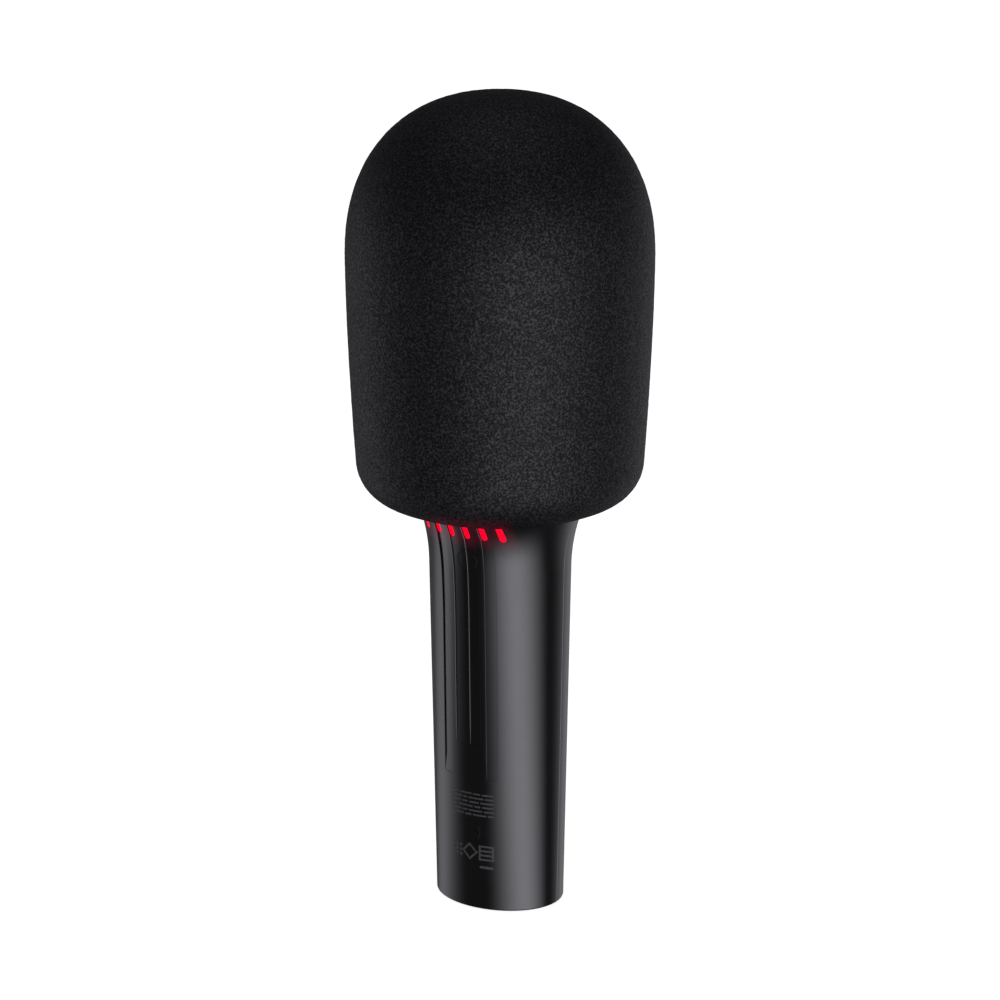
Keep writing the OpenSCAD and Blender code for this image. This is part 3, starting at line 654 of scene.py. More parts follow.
def front_shell(material):
    shell = half_shell(-1)
    posts = [(0, z, POST_R, -30 * MM, 0) for z in SHELL_SCREW_Z]
    posts += [(x, z, BOARD_POST_R, -30 * MM, y) for x, z, y in BOARD_POSTS + PORT_POSTS]
    combine(shell, [bosses(posts)], "UNION")
    outline = stadium(PANEL_HALF_W + PLUG_GAP, BUTTON_Z[0], BUTTON_Z[-1])
    recess = along_y("recess", outline, -40 * MM, -5 * MM)
    combine(recess, [handle_form(PANEL_T + 0.1 * MM, 0, NECK_TOP + 1 * MM)], "DIFFERENCE")
    combine(shell, [recess], "DIFFERENCE")
    holes = [bar_y(0, z, r + 0.25 * MM, -40 * MM, -10 * MM) for z, r in zip(BUTTON_Z, BUTTON_R)]
    combine(shell, [joined(holes)], "DIFFERENCE")
    bores = [bar_y(0, z, 1.25 * MM, -9 * MM, 1 * MM, 32) for z in SHELL_SCREW_Z]
    bores += [bar_y(x, z, 0.95 * MM, y - 5 * MM, y + 1 * MM, 32) for x, z, y in BOARD_POSTS + PORT_POSTS]
    combine(shell, [joined(bores)], "DIFFERENCE")
    return finish_shell(shell, "front_shell", "handle_front_shell", material)


def finish_shell(shell, name, node, material):
    key = along_y("key", [(-KEY_SIZE[0] / 2, 124 * MM), (KEY_SIZE[0] / 2, 124 * MM),
                          (KEY_SIZE[0] / 2, 128 * MM), (-KEY_SIZE[0] / 2, 128 * MM)],
                  -KEY_SIZE[1] / 2, KEY_SIZE[1] / 2)
    combine(shell, [key], "DIFFERENCE")
    shell.name = name
    shell.data.materials.clear()
    shell.data.materials.append(material)
    shade_on_form(shell, floors=True)
    return placed(shell, "handle", "gloss_black", node)


def placed(piece, body, slot, *nodes):
    """Puts a piece on its body and hides the CAD nodes it stands for. Its material slot is not used."""
    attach(piece, body)
    if nodes:
        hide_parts(*nodes)
    return piece


def screw_plugs(material):
    """Round covers over the shell screws, flush with the back and grooved like it."""
    plugs = joined([bar_y(0, z, PLUG_R - PLUG_GAP, PLUG_LOW_Y, 40 * MM, 96) for z in SHELL_SCREW_Z])
    combine(plugs, [handle_form(0, 0, NECK_TOP, 240)], "INTERSECT")
    combine(plugs, [joined([groove_cutter(i) for i in range(1, SLOT_COUNT - 1)])], "DIFFERENCE")
    plugs.name = "plugs"
    plugs.data.materials.append(material)
    shade_on_form(plugs, floors=True)
    return placed(plugs, "handle", "gloss_black", "screw_plugs")


def control_panel(material):
    """Satin trim plate let into the front, flush with the handle."""
    panel = along_y("panel", stadium(PANEL_HALF_W, BUTTON_Z[0], BUTTON_Z[-1]), -40 * MM, -5 * MM)
    combine(panel, [handle_form(0, 20 * MM, NECK_TOP, 360)], "INTERSECT")
    combine(panel, [handle_form(PANEL_T, 0, NECK_TOP + 1 * MM)], "DIFFERENCE")
    holes = [bar_y(0, z, r + 0.15 * MM, -40 * MM, -5 * MM, 96) for z, r in zip(BUTTON_Z, BUTTON_R)]
    combine(panel, [joined(holes)], "DIFFERENCE")
    panel.name = "panel"
    panel.data.materials.append(material)
    shade_on_form(panel)
    return placed(panel, "handle", "satin_black", "control_panel")


# ---- foam ----

def arc_under(middle, radius, start, end, count):
    """Points on an arc in a (radius, height) profile. Angles run down from the horizontal."""
    return [(middle[0] + radius * math.cos(t), middle[1] - radius * math.sin(t))
            for t in np.linspace(start, end, count)]


def foam_outside():
    """Points (radius, height) from the lip under the head, up the foam's outside to its top."""
    wall_h = FOAM_SHOULDER_Z - FOAM_EDGE_Z
    tilt = math.atan((FOAM_R - FOAM_LOW_R) * FOAM_BOW / wall_h)
    turned = tilt + FOAM_EDGE_TURN
    edge_middle = arc_under((FOAM_LOW_R, FOAM_EDGE_Z), -FOAM_EDGE_R, tilt, tilt, 1)[0]
    under_middle = arc_under(edge_middle, FOAM_EDGE_R - FOAM_UNDER_R, turned, turned, 1)[0]
    nose = math.acos((LIP_R + LIP_ROUND - under_middle[0]) / (FOAM_UNDER_R - LIP_ROUND))
    nose_middle = arc_under(under_middle, FOAM_UNDER_R - LIP_ROUND, nose, nose, 1)[0]
    points = arc_under(nose_middle, LIP_ROUND, math.pi, nose, 12)
    points += arc_under(under_middle, FOAM_UNDER_R, nose, turned, 24)[1:]
    points += arc_under(edge_middle, FOAM_EDGE_R, turned, tilt, 60)[1:]
    for share in np.linspace(0, 1, 60)[1:]:
        points.append((FOAM_LOW_R + (FOAM_R - FOAM_LOW_R) * (1 - (1 - share) ** FOAM_BOW),
                       FOAM_EDGE_Z + wall_h * share))
    return points + dome(FOAM_R, FOAM_SHOULDER_Z, FOAM_TOP, 240)


def dome(radius, low, top, count):
    """Superellipse from just above the shoulder to the apex."""
    points = []
    for turn in np.linspace(math.pi / 2, 0, count)[1:]:
        points.append((radius * max(math.sin(turn), 0.0) ** (2 / DOME_POWER),
                       low + (top - low) * math.cos(turn) ** (2 / DOME_POWER)))
    return points


def evenly(points, step):
    """The same curve with points an equal distance apart."""
    points = np.array(points)
    run = np.concatenate([[0], np.cumsum(np.linalg.norm(np.diff(points, axis=0), axis=1))])
    at = np.linspace(0, run[-1], max(2, round(run[-1] / step) + 1))
    return np.stack([np.interp(at, run, points[:, 0]), np.interp(at, run, points[:, 1])], axis=1)


def turned_surface(profile, columns, spacing):
    """Vertices and faces of a profile turned about Z. The columns halve where they get too close."""
    vertices, faces = [], []
    ring = None
    count = columns
    for radius, z in profile:
        if radius < 1e-6:
            vertices.append((0, 0, z))
            tip = len(vertices) - 1
            faces += [(ring[k], ring[(k + 1) % count], tip) for k in range(count)]
            return vertices, faces
        halve = ring is not None and count % 2 == 0 and count > 12 and 2 * math.pi * radius / count < spacing
        if halve:
            count //= 2
        first = len(vertices)
        vertices += [(x, y, z) for x, y in circle(radius, count)]
        new = list(range(first, first + count))
        if ring and halve:
            for k in range(count):
                a, b, c = ring[2 * k], ring[2 * k + 1], ring[(2 * k + 2) % (2 * count)]
                faces += [(a, b, new[k]), (b, c, new[(k + 1) % count], new[k])]
        elif ring:
            faces += bridge([ring, new])
        ring = new
    return vertices, faces


def foam_cover(material):
    """Windscreen of open-cell foam: a dense skin with an uneven grain, and a smooth bore for the basket."""
    columns = 400
    grain = 0.72 * MM
    outside = evenly(foam_outside(), grain)
    outside[-1, 0] = 0
    inner_top = FOAM_TOP - FOAM_TOP_T
    lip_top = NECK_TOP - 0.1 * MM
    bore = [(LIP_R, lip_top - 0.3 * MM), (LIP_R + 0.3 * MM, lip_top)]
    bore += [(FOAM_IN_R, z) for z in levels(lip_top, CAGE_SHOULDER_Z, 6 * MM)]
    bore = np.array(bore + dome(FOAM_IN_R, CAGE_SHOULDER_Z, inner_top, 16))
    bore[-1, 0] = 0
    vertices, faces = turned_surface(outside, columns, 0.55 * grain)
    inner, inner_faces = turned_surface(bore, columns, 1.2 * MM)
    base = len(vertices)
    faces += [tuple(base + k for k in reversed(f)) for f in inner_faces]
    faces += [(k, base + k, base + (k + 1) % columns, (k + 1) % columns) for k in range(columns)]
    cover = new_object("foam_cover_skin", vertices + inner, faces, material)
    outward(cover)
    roughen(cover, range(columns, base))
    cover.data.polygons.foreach_set("use_smooth", [True] * len(cover.data.polygons))
    return placed(cover, "foam_cover", "foam", "foam_windscreen")


def roughen(obj, numbers):
    """Moves vertices in and out a little, as the open cells of foam do."""
    coarse, fine = 0.05 * MM, 0.07 * MM
    moves = []
    for k in numbers:
        vertex = obj.data.vertices[k]
        place = vertex.co / MM
        push = coarse * noise.noise(place / 2.6) + fine * noise.noise(place / 0.9)
        moves.append((vertex, vertex.normal * push))
    for vertex, move in moves:
        vertex.co += move


# ---- buttons and prints ----

def turned_on_y(name, profile, z, columns, material):
    """Solid from a (radius, forward) profile turned about a line along -Y at a height."""
    vertices, faces = [], []
    ring = None
    for radius, forward in profile:
        first = len(vertices)
        if radius < 1e-6:
            vertices.append((0, -forward, z))
            tip = [first] * columns
            if ring:
                faces += [(ring[k], ring[(k + 1) % columns], first) for k in range(columns)]
            ring = tip
            continue
        vertices += [(x, -forward, z + y) for x, y in circle(radius, columns)]
        new = list(range(first, first + columns))
        if ring and ring[0] == ring[-1]:
            faces += [(ring[0], new[(k + 1) % columns], new[k]) for k in range(columns)]
        elif ring:
            faces += bridge([ring, new])
        ring = new
    obj = new_object(name, vertices, faces, material)
    outward(obj)
    soften(obj, 40)
    return obj


def soften(obj, degrees):
    """Smooth shading, with edges sharper than an angle kept crisp."""
    obj.data.polygons.foreach_set("use_smooth", [True] * len(obj.data.polygons))
    obj.data.set_sharp_from_angle(angle=math.radians(degrees))


def key_cap(i, material):
    """Button with a rounded rim and a shallow dish, on the flange and stem that hold it."""
    radius, z = BUTTON_R[i], BUTTON_Z[i]
    face = float(half_w(z)) * DEPTH_RATIO
    flange_r = radius + 0.9 * MM
    flange = float(depth_at(flange_r, z, WALL)) - 0.25 * MM
    rim = 0.45 * MM
    high = face + 0.9 * MM
    dish = 0.22 * MM
    profile = [(0, 13.4 * MM), (1.6 * MM, 13.4 * MM), (1.6 * MM, flange - 0.9 * MM)]
    profile += [(flange_r, flange - 0.9 * MM), (flange_r, flange), (radius, flange)]
    for k in range(9):
        turn = math.pi / 2 * k / 8
        profile.append((radius - rim * (1 - math.cos(turn)), high - rim * (1 - math.sin(turn))))
    inner = radius - rim - 0.1 * MM
    profile += [(inner * math.sqrt(1 - s), high - dish * s * (2 - s)) for s in np.linspace(0, 1, 10)]
    name = BUTTONS[i]
    cap = turned_on_y(name + "_cap", profile, z, 96, material)
    slot = "power_red" if i == 0 else "button_plastic"
    return placed(cap, name + "_key", slot, name + "_button"), high - dish


def arc_outline(radius, width, start, end, steps=28):
    """Outline of a stroke along an arc, angles in degrees from the right."""
    turns = [math.radians(start + (end - start) * k / steps) for k in range(steps + 1)]
    outer = [((radius + width / 2) * math.cos(t), (radius + width / 2) * math.sin(t)) for t in turns]
    inner = [((radius - width / 2) * math.cos(t), (radius - width / 2) * math.sin(t)) for t in turns]
    return outer + inner[::-1]


def bar_outline(width, height, x=0.0, z=0.0):
    return [(x - width / 2, z - height / 2), (x + width / 2, z - height / 2),
            (x + width / 2, z + height / 2), (x - width / 2, z + height / 2)]


def button_mark(i, level, material):
    """Raised mark on a button: a plain sign for what it does, standing off the face by a hair."""
    stroke = 0.42 * MM
    size = 1.5 * MM
    signs = {
        "power": [arc_outline(size, stroke, 125, 415), bar_outline(stroke, size, 0, 0.85 * size)],
        "mode": [[(x + s * 1.3 * MM, y) for x, y in circle(0.36 * MM, 20)] for s in (-1, 0, 1)],
        "volume_down": [bar_outline(2 * size, stroke)],
        "volume_up": [bar_outline(2 * size, stroke), bar_outline(stroke, 2 * size)],
        "echo": [arc_outline(r * MM, stroke, -38, 38, 12) for r in (0.6, 1.4, 2.2)],
    }
    sunk, proud = 0.12 * MM, 0.08 * MM
    shift = -1.2 * MM if BUTTONS[i] == "echo" else 0.0
    solids = []
    for outline in signs[BUTTONS[i]]:
        outline = [(shift + x, BUTTON_Z[i] + z) for x, z in outline]
        solids.append(along_y("mark", outline, -level - proud, -level + sunk))
    crossing = BUTTONS[i] in ("power", "volume_up")
    mark = combine(solids[0], solids[1:], "UNION") if crossing else joined(solids)
    mark.name = BUTTONS[i] + "_mark"
    mark.data.materials.append(material)
    return placed(mark, BUTTONS[i] + "_key", "button_plastic")


def pad_mesh(strokes, thickness=0.03 * MM):
    """Thin pads on the back of the handle, for ink and for painted highlights. A stroke is a row of pairs of
    (x, z) points on its two edges.
    """
    vertices, faces = [], []
    for pairs in strokes:
        closed = pairs[0] == pairs[-1]
        rings = []
        for pair in pairs[:-1] if closed else pairs:
            rings.append([len(vertices) + k for k in (0, 1, 3, 2)])
            for x, z in pair:
                surface = float(depth_at(x, z))
                vertices += [(x, surface - thickness, z), (x, surface + thickness, z)]
        faces += bridge(rings, closed)
        if not closed:
            faces += [tuple(reversed(rings[0])), tuple(rings[-1])]
    return vertices, faces


def bar_stroke(x0, x1, z0, z1):
    """Stroke of an upright rectangle."""
    columns = max(2, math.ceil((x1 - x0) / (0.5 * MM)) + 1)
    return [((x, z0), (x, z1)) for x in np.linspace(x0, x1, columns)]


def loop_stroke(corners, middle, size, width):
    """Closed stroke along an outline of straight sides, given by its corners at size 1."""
    steps = 8
    pairs = []
    for k, start in enumerate(corners):
        end = corners[(k + 1) % len(corners)]
        for share in np.arange(steps) / steps:
            x, z = (a + (b - a) * share for a, b in zip(start, end))
            edges = (size - width / 2, size + width / 2)
            pairs.append([(middle[0] + r * x, middle[1] + r * z) for r in edges])
    return pairs + pairs[:1]


def add_pad(name, strokes, thickness, material):
    vertices, faces = pad_mesh(strokes, thickness)
    ink = new_object(name, vertices, faces, material)
    outward(ink)
    shade_on_form(ink)
    return placed(ink, "handle", "gloss_black")


def rating_print(material):
    """Plain ink marks low on the back: rows of dashes, a dot block, a diamond, a barred square, a bar."""
    strokes = []
    left, right = 7.0 * MM, -7.9 * MM
    row_pitch, row_h, gap = 1.36 * MM, 0.5 * MM, 0.55 * MM
    words = (
        (21, 30, 17, 26), (26, 9, 32, 16), (29, 14, 24, 31),
        (14, 31, 12, 22), (22, 10, 26, 17), (24, 11, 22, 9),
    )
    for row, lengths in enumerate(words):
        z = 37.6 * MM - row * row_pitch
        share = (left - right - gap * (len(lengths) - 1)) / sum(lengths)
        x = left
        for length in lengths:
            strokes.append(bar_stroke(x - length * share, x, z - row_h / 2, z + row_h / 2))
            x -= length * share + gap
    mark_z = 18.6 * MM
    width = 0.6 * MM
    dot = 0.42 * MM
    for across in (3.4 * MM, 4.9 * MM, 6.4 * MM):
        for z in (mark_z - 1.5 * MM, mark_z, mark_z + 1.5 * MM):
            strokes.append(bar_stroke(across - dot, across + dot, z - dot, z + dot))
    diamond = ((1, 0), (0, 1), (-1, 0), (0, -1))
    square = ((1, 1), (-1, 1), (-1, -1), (1, -1))
    square_x, half = -5.5 * MM, 2.15 * MM
    strokes.append(loop_stroke(diamond, (0.1 * MM, mark_z), 2.4 * MM, width * math.sqrt(2)))
    strokes.append(loop_stroke(square, (square_x, mark_z), half, width))
    inner = half - width / 2 - 0.02 * MM
    for z in (mark_z - half / 3, mark_z + half / 3):
        strokes.append(bar_stroke(square_x - inner, square_x + inner, z - width / 2, z + width / 2))
    strokes.append(bar_stroke(square_x - half, square_x + half, 13.5 * MM, 14.3 * MM))
    return add_pad("rating_marks", strokes, 0.03 * MM, material)


def painted_plug_highlights(material):
    """Painted highlight: pale arcs on both sides of each screw plug's gap, where its edges would catch the
    light.
    """
    half = 0.09 * MM
    edges = (PLUG_R - half, PLUG_R + half)
    turns = np.radians(np.linspace(-38, 38, 13))
    strokes = []
    for middle in SHELL_SCREW_Z:
        for side in (-1, 1):
            arc = [[(side * r * math.cos(t), middle + r * math.sin(t)) for r in edges] for t in turns]
            strokes.append(arc)
    return add_pad("painted_plug_highlights", strokes, 0.02 * MM, material)


# ---- woven wire lining ----

def wire_mesh(material):
    """Woven wire dome inside the basket, in the place of its solid stand-in."""
    low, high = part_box("grille_mesh")
    wire = 0.42 * MM
    pitch = 2.0 * MM
    radius = high.x - wire
    wave = 0.5 * wire
    upright = [(radius, z) for z in levels(low.z, CAGE_SHOULDER_Z, 1 * MM)]
    curve = np.array(upright + dome(radius, CAGE_SHOULDER_Z, high.z - wire, 60))
    curve = evenly(curve, pitch / 2)
    curve = curve[curve[:, 0] > 8 * MM]
    count = 2 * round(math.pi * radius / pitch)
    paths = []
    slope = np.gradient(curve, axis=0)
    slope /= np.linalg.norm(slope, axis=1)[:, None]
    across = np.stack([slope[:, 1], -slope[:, 0]], axis=1)
    for k in range(count):
        turn = 2 * math.pi * k / count
        sign = 1 if k % 2 else -1
        path = []
        for j, (point, out) in enumerate(zip(curve, across)):
            r, z = point + out * wave * sign * math.cos(math.pi * j / 2)
            path.append((r * math.cos(turn), r * math.sin(turn), z))
        paths.append((path, False))
    for j in range(0, len(curve), 2):
        sign = 1 if (j // 2) % 2 else -1
        path = []
        for k in range(2 * count):
            turn = math.pi * k / count
            r, z = curve[j] + across[j] * wave * sign * math.cos(math.pi * (k / 2 + 1))
            path.append((r * math.cos(turn), r * math.sin(turn), z))
        paths.append((path, True))
    vertices, faces = [], []
    for path, closed in paths:
        tube(vertices, faces, path, wire / 2, closed)
    lining = new_object("wire_lining", vertices, faces, material)
    outward(lining)
    soften(lining, 60)
    return placed(lining, "handle", "wire_mesh", "grille_mesh")


def tube(vertices, faces, path, radius, closed, sides=4):
    """Adds a wire of a few sides along a path."""
    path = [Vector(p) for p in path]
    count = len(path)
    rings = []
    for k, point in enumerate(path):
        before = path[k - 1] if k or closed else path[0]
        after = path[(k + 1) % count] if k < count - 1 or closed else path[-1]
        forward = (after - before).normalized()
        out = Vector((point.x, point.y, 0)).normalized()
        side = forward.cross(out).normalized()
        out = side.cross(forward)
        rings.append(list(range(len(vertices), len(vertices) + sides)))
        for s in range(sides):
            turn = 2 * math.pi * (s + 0.5) / sides
            vertices.append(tuple(point + (out * math.cos(turn) + side * math.sin(turn)) * radius))
    faces += bridge(rings, closed)
    if not closed:
        faces += [tuple(reversed(rings[0])), tuple(rings[-1])]


# ---- materials ----

def painted_slot_glow(n):
    """Strength of the painted red glow on the plastic round the slots, by distance from the nearest one."""
    place = n.add("ShaderNodeSeparateXYZ", {0: n.add("ShaderNodeNewGeometry").outputs["Position"]})
    x, y, z = place.outputs
    leaning = n.math("MULTIPLY_ADD", n.math("SUBTRACT", z, SLOT_Z), SLOT_LEAN, SLOT_SHIFT)
    off = n.math("SUBTRACT", x, leaning)
    step = n.math("ADD", n.math("FLOOR", n.math("DIVIDE", off, SLOT_PITCH)), 0.5)
    last = (SLOT_COUNT - 1) / 2
    step = n.math("MINIMUM", n.math("MAXIMUM", step, -last), last)
    aside = n.math("SUBTRACT", off, n.math("MULTIPLY", step, SLOT_PITCH))
    nearest = n.math("MINIMUM", n.math("MAXIMUM", z, SLOT_Z + SLOT_W / 2), SLOT_Z + SLOT_LEN)
    above = n.math("SUBTRACT", z, nearest)
    distance = n.math("SQRT", n.math("ADD", n.math("POWER", aside, 2.0), n.math("POWER", above, 2.0)))
    rear = n.ramp(y, 2 * MM, 6 * MM)
    return n.math("MULTIPLY", n.ramp(distance, *NECK_GLOW_REACH), rear)


def painted_foam_glow(n):
    """Strength of the painted red glow on the foam's lower edge above the slots."""
    place = n.add("ShaderNodeSeparateXYZ", {0: n.add("ShaderNodeNewGeometry").outputs["Position"]})
    x, y, z = place.outputs
    turn = n.math("ARCTAN2", x, y)
    near, far = FOAM_GLOW_TURN
    beside = n.math("MULTIPLY", n.ramp(turn, *near), n.ramp(turn, *far))
    return n.math("MULTIPLY", n.ramp(z, *FOAM_GLOW_Z), beside)


def foam_material():
    """Black open-cell foam: pores that swallow the light between struts with a faint gloss."""
    material, n = new_material("foam")
    pores = n.cells(0.7 * MM)
    fine = n.noise(0.62 * MM, 2, 0.7)
    broad = n.noise(9 * MM, 2)
    struts = n.ramp(pores, 0.15, 0.7)
    grain = n.math("MULTIPLY", struts, n.ramp(fine, 0.36, 0.64))
    tone = n.math("MULTIPLY", n.ramp(broad, 0.2, 0.8, 0.9, 1.1), grain)
    colour = n.mix(tone, grey(0.007), (0.0315, 0.0315, 0.0335, 1))
    gloss = n.ramp(tone, 0.0, 1.0, 0.06, 0.31, smooth=False)
    relief = n.bump(n.math("ADD", pores, fine), 0.1 * MM, 0.6)
    # Painted red glow on the foam's lower edge above the slots, given as emission
    painted_glow = n.math("MULTIPLY", painted_foam_glow(n), n.ramp(tone, 0.0, 1.0, 0.7 * FOAM_GLOW, 1.5 * FOAM_GLOW))
    n.surface(Base_Color=colour, Roughness=0.52, Specular_IOR_Level=gloss,
              Specular_Tint=(0.96, 0.96, 1.0, 1), Normal=relief, Emission_Color=PAINTED_RED_GLOW,
              Emission_Strength=painted_glow)
    return material


def gloss_material(name, level, rough=0.16):
    """Dark polished plastic: faint flow ripple from the mould and a thin uneven film of handling."""
    material, n = new_material(name)
    ripple = n.noise(14 * MM, 1)
    film = n.noise(5 * MM, 4, 0.6)
    dust = n.ramp(n.cells(1.6 * MM), 0.05, 0.02, 0, 1)
    roughness = n.ramp(film, 0.3, 0.75, rough - 0.015, rough + 0.03)
    colour = n.mix(dust, grey(level), grey(level * 1.6))
    relief = n.bump(ripple, 0.012 * MM, 0.25)
    # Painted red glow round the slots, given as emission
    painted_glow = n.math("MULTIPLY", painted_slot_glow(n), NECK_GLOW)
    n.surface(Base_Color=colour, Roughness=roughness, IOR=1.5, Normal=relief,
              Emission_Color=PAINTED_RED_GLOW, Emission_Strength=painted_glow)
    return material


def moulded_material(name, colour, rough=0.42, grain=0.16 * MM, depth=0.02 * MM, **more):
    """Plastic or rubber with the fine spark-eroded grain of its mould."""
    material, n = new_material(name)
    texture = n.noise(grain, 2, 0.6)
    broad = n.noise(7 * MM, 3)
    shade = [c * 1.18 for c in colour] + [1]
    tone = n.mix(n.ramp(broad, 0.3, 0.7), list(colour) + [1], shade)
    relief = n.bump(n.math("ADD", texture, n.cells(grain * 1.7)), depth, 0.6)
    roughness = n.ramp(broad, 0.25, 0.75, rough - 0.04, rough + 0.06)
    n.surface(Base_Color=tone, Roughness=roughness, Normal=relief, **more)
    return material


def metal_material(name, colour, rough=0.3, brush=(1, 1, 1), depth=0.006 * MM, tarnish=0.75):
    """Bare or plated metal with fine tool lines, stretched along the axes by brush."""
    material, n = new_material(name)
    place = n.place(brush)
    lines = n.noise(0.35 * MM, 3, 0.65, place)
    patches = n.noise(4 * MM, 3)
    dull = [c * tarnish for c in colour] + [1]
    tone = n.mix(n.ramp(patches, 0.35, 0.7), list(colour) + [1], dull)
    roughness = n.ramp(lines, 0.3, 0.7, rough - 0.06, rough + 0.1)
    relief = n.bump(lines, depth, 0.5)
    n.surface(Base_Color=tone, Metallic=1.0, Roughness=roughness, Normal=relief)
    return material


def fibre_material(name, colour, size=0.6 * MM, rough=0.85, weave=None):
    """Pressed paper or woven cloth: tangled fibres, or crossing threads at a weave's pitch."""
    material, n = new_material(name)
    fibres = n.noise(size, 4, 0.75, n.place((1, 1.6, 0.6)))
    height = fibres
    if weave:
        waves = [n.add("ShaderNodeTexWave", {"Vector": n.place(), "Scale": 0.3 / weave, "Distortion": 0.4},
                       bands_direction=axis).outputs["Fac"] for axis in ("X", "Y")]
        height = n.math("MULTIPLY", waves[0], waves[1])
    light = [min(1, c * 1.7) for c in colour] + [1]
    tone = n.mix(n.math("MULTIPLY", height, fibres), list(colour) + [1], light)
    relief = n.bump(height, 0.08 * MM, 0.7)
    n.surface(Base_Color=tone, Roughness=rough, Sheen_Weight=0.1, Normal=relief)
    return material


def board_material():
    """Green circuit board: solder mask over faint copper tracks and plated dots."""
    material, n = new_material("circuit_board")
    tracks = n.add("ShaderNodeTexBrick", {"Vector": n.place((1, 1, 1)), "Scale": 1 / (5 * MM),
                                          "Mortar Size": 0.06, "Brick Width": 0.7, "Row Height": 0.3},
                   ).outputs["Fac"]
    dots = n.ramp(n.cells(2.2 * MM, randomness=0.5), 0.16, 0.12)
    mask = n.mix(n.noise(2 * MM, 2), (0.006, 0.07, 0.025, 1), (0.01, 0.1, 0.035, 1))
    lit = n.mix(n.math("MULTIPLY", tracks, 0.6), mask, (0.03, 0.2, 0.07, 1))
    colour = n.mix(dots, lit, (0.75, 0.62, 0.35, 1))
    relief = n.bump(n.math("ADD", tracks, dots), 0.03 * MM, 0.6)
    n.surface(Base_Color=colour, Metallic=n.math("MULTIPLY", dots, 0.9), Roughness=0.3, Normal=relief)
    return material


def copper_material():
    """Fine copper wire wound round Z, one turn beside the next."""
    material, n = new_material("copper_winding")
    turns = n.add("ShaderNodeTexWave", {"Vector": n.place(), "Scale": 0.3 / (0.25 * MM)},
                  bands_direction="Z").outputs["Fac"]
    colour = n.mix(turns, (0.3, 0.09, 0.03, 1), (0.85, 0.36, 0.16, 1))
    n.surface(Base_Color=colour, Metallic=1.0, Roughness=0.32, Normal=n.bump(turns, 0.06 * MM, 0.8))
    return material


def wrap_material():
    """Shrink wrap of the cell: glossy film with slight wrinkles along its length."""
    material, n = new_material("cell_wrap")
    wrinkles = n.noise(1.5 * MM, 2, 0.5, n.place((1, 1, 0.15)))
    colour = n.mix(n.noise(20 * MM, 1), (0.02, 0.13, 0.42, 1), (0.03, 0.17, 0.5, 1))
    n.surface(Base_Color=colour, Roughness=0.28, Coat_Weight=0.3, Normal=n.bump(wrinkles, 0.05 * MM, 0.4))
    return material


def lit_material(name, colour, strength):
    """Milky moulding lit from inside, a little brighter in its middle."""
    material, n = new_material(name)
    cloud = n.noise(0.8 * MM, 2)
    edge = n.add("ShaderNodeLayerWeight", {"Blend": 0.35}).outputs["Facing"]
    inner = n.ramp(edge, 0, 1, strength, 0.8 * strength)
    glow = n.math("MULTIPLY", n.ramp(cloud, 0.2, 0.8, 0.94, 1.06), inner)
    relief = n.bump(cloud, 0.02 * MM, 0.3)
    n.surface(Base_Color=(0.1, 0.0, 0.003, 1), Roughness=0.45, Specular_IOR_Level=0.05,
              Emission_Color=list(colour) + [1], Emission_Strength=glow, Normal=relief)
    return material


def ink_and_highlight_material(name, level):
    """Matt pad-print ink, thin in places; also the pale film of the painted highlight arcs beside the screw
    plugs.
    """
    material, n = new_material(name)
    wear = n.noise(0.5 * MM, 3, 0.7)
    colour = n.mix(n.ramp(wear, 0.3, 0.7), grey(level * 0.8), grey(level * 1.1))
    n.surface(Base_Color=colour, Roughness=0.6, Specular_IOR_Level=0.3, Normal=n.bump(wear, 0.01 * MM, 0.4))
    return material


# ---- the whole microphone ----

def dress(material, *names):
    """Gives CAD nodes their finished material."""
    for name in names:
        obj = NODES[name]
        if not obj.material_slots:
            obj.data.materials.append(material)
        for entry in obj.material_slots:
            entry.material = material


add_camera()
add_world()
add_floor()

gloss = gloss_material("gloss_black_plastic", 0.004)
satin = moulded_material("satin_black_plastic", (0.012, 0.012, 0.013), 0.36)
matt = moulded_material("matt_black_plastic", (0.02, 0.02, 0.021), 0.55, 0.25 * MM, 0.03 * MM)
rubber = moulded_material("rubber", (0.018, 0.018, 0.018), 0.75, 0.3 * MM, 0.03 * MM)
key_plastic = moulded_material("key_plastic", (0.035, 0.035, 0.038), 0.4, 0.12 * MM, 0.012 * MM)
key_red = moulded_material("key_red", (0.42, 0.012, 0.03), 0.35, 0.12 * MM, 0.012 * MM)
pale_ink = ink_and_highlight_material("pale_ink", 0.5)
dim_ink = ink_and_highlight_material("dim_ink", 0.08)

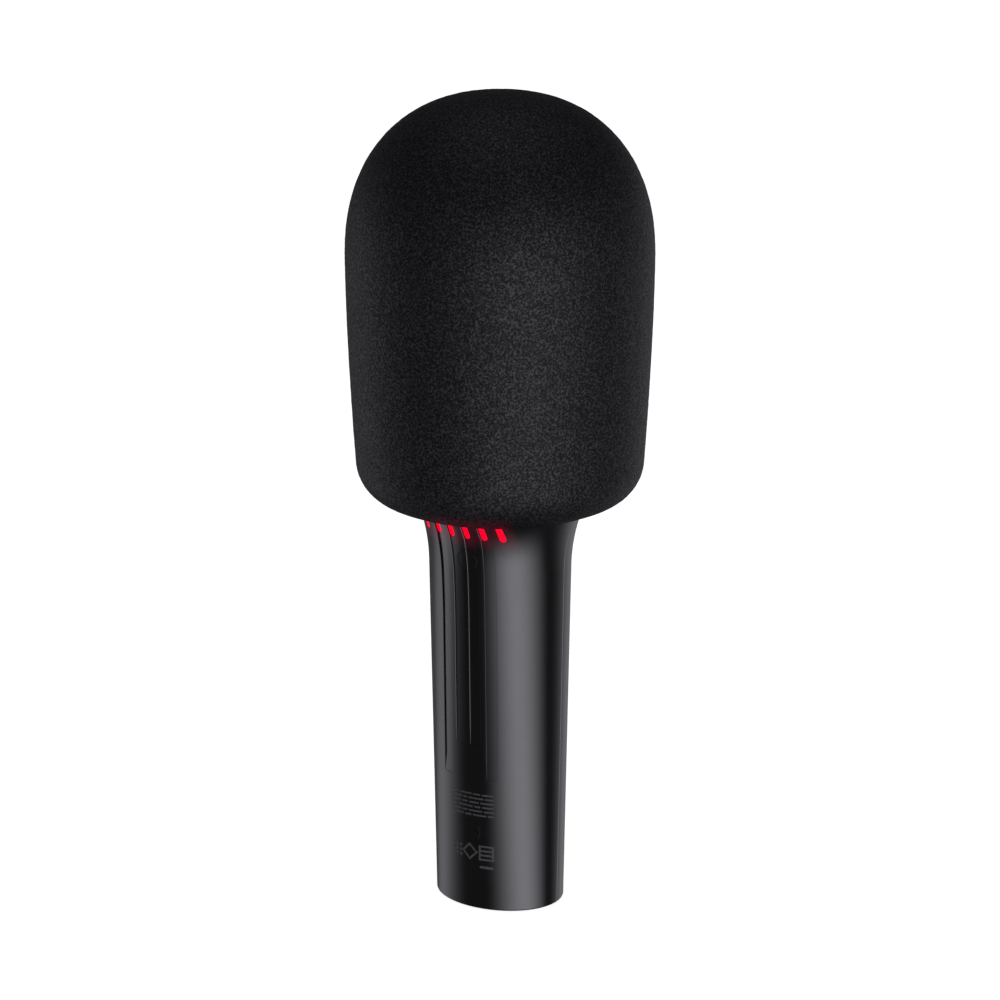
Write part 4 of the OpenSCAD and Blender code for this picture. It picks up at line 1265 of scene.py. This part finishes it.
rear_shell(gloss)
front_shell(gloss)
screw_plugs(gloss)
control_panel(satin)
for number in range(len(BUTTONS)):
    cap, face_level = key_cap(number, key_red if number == 0 else key_plastic)
    button_mark(number, face_level, pale_ink)
rating_print(dim_ink)
# Painted highlight arcs beside the screw plugs
painted_plug_highlights(ink_and_highlight_material("plug_highlight_film", 0.022))
foam_cover(foam_material())
wire_mesh(metal_material("mesh_wire", (0.42, 0.42, 0.43), 0.35))

red_lens = lit_material("red_lens", (1.0, 0.0, 0.014), 2.0)
dress(red_lens, "light_guide")
dress(lit_material("lamp_resin", (1.0, 0.05, 0.02), 1.0), "slot_leds")
dress(matt, "grille_cage", "mic_tower", "head_base", "speaker_chamber", "battery_bracket")
dress(satin, "bottom_cap")
dress(rubber, "mic_holder", "speaker_gasket", "speaker_surround")
dress(metal_material("capsule_nickel", (0.62, 0.6, 0.56), 0.28, (1, 1, 8)), "mic_capsule")
dress(metal_material("basket_steel", (0.2, 0.2, 0.21), 0.42), "speaker_frame")
dress(metal_material("zinc_plate", (0.55, 0.56, 0.58), 0.3, (1, 1, 6)), "speaker_top_plate", "speaker_yoke")
dress(moulded_material("ferrite", (0.03, 0.03, 0.032), 0.6, 0.2 * MM, 0.02 * MM), "speaker_magnet")
dress(copper_material(), "voice_coil")
dress(fibre_material("cone_paper", (0.018, 0.018, 0.02)), "speaker_cone", "dust_cap")
dress(fibre_material("spider_cloth", (0.38, 0.22, 0.07), 0.5 * MM, 0.8, 0.6 * MM), "speaker_spider")
dress(board_material(), "led_board", "main_board", "port_board")
dress(moulded_material("chip_resin", (0.015, 0.015, 0.016), 0.5, 0.1 * MM, 0.01 * MM), "board_parts")
dress(metal_material("switch_steel", (0.6, 0.6, 0.61), 0.3), "switch_bodies")
dress(moulded_material("plunger_nylon", (0.05, 0.05, 0.05), 0.45), *[name + "_plunger" for name in BUTTONS])
dress(wrap_material(), "battery_cell")
dress(fibre_material("pad_foam", (0.03, 0.03, 0.032), 0.4 * MM), "battery_pads")
dress(metal_material("socket_steel", (0.68, 0.68, 0.7), 0.22, (1, 1, 5)), "charging_port")
dress(moulded_material("socket_nylon", (0.01, 0.01, 0.01), 0.5), "charging_port_tongue", "aux_jack")
dress(metal_material("screw_steel", (0.5, 0.5, 0.52), 0.3), "shell_screws", "cage_screws",
      "chamber_screws", "speaker_screws", "board_screws", "bracket_screws")
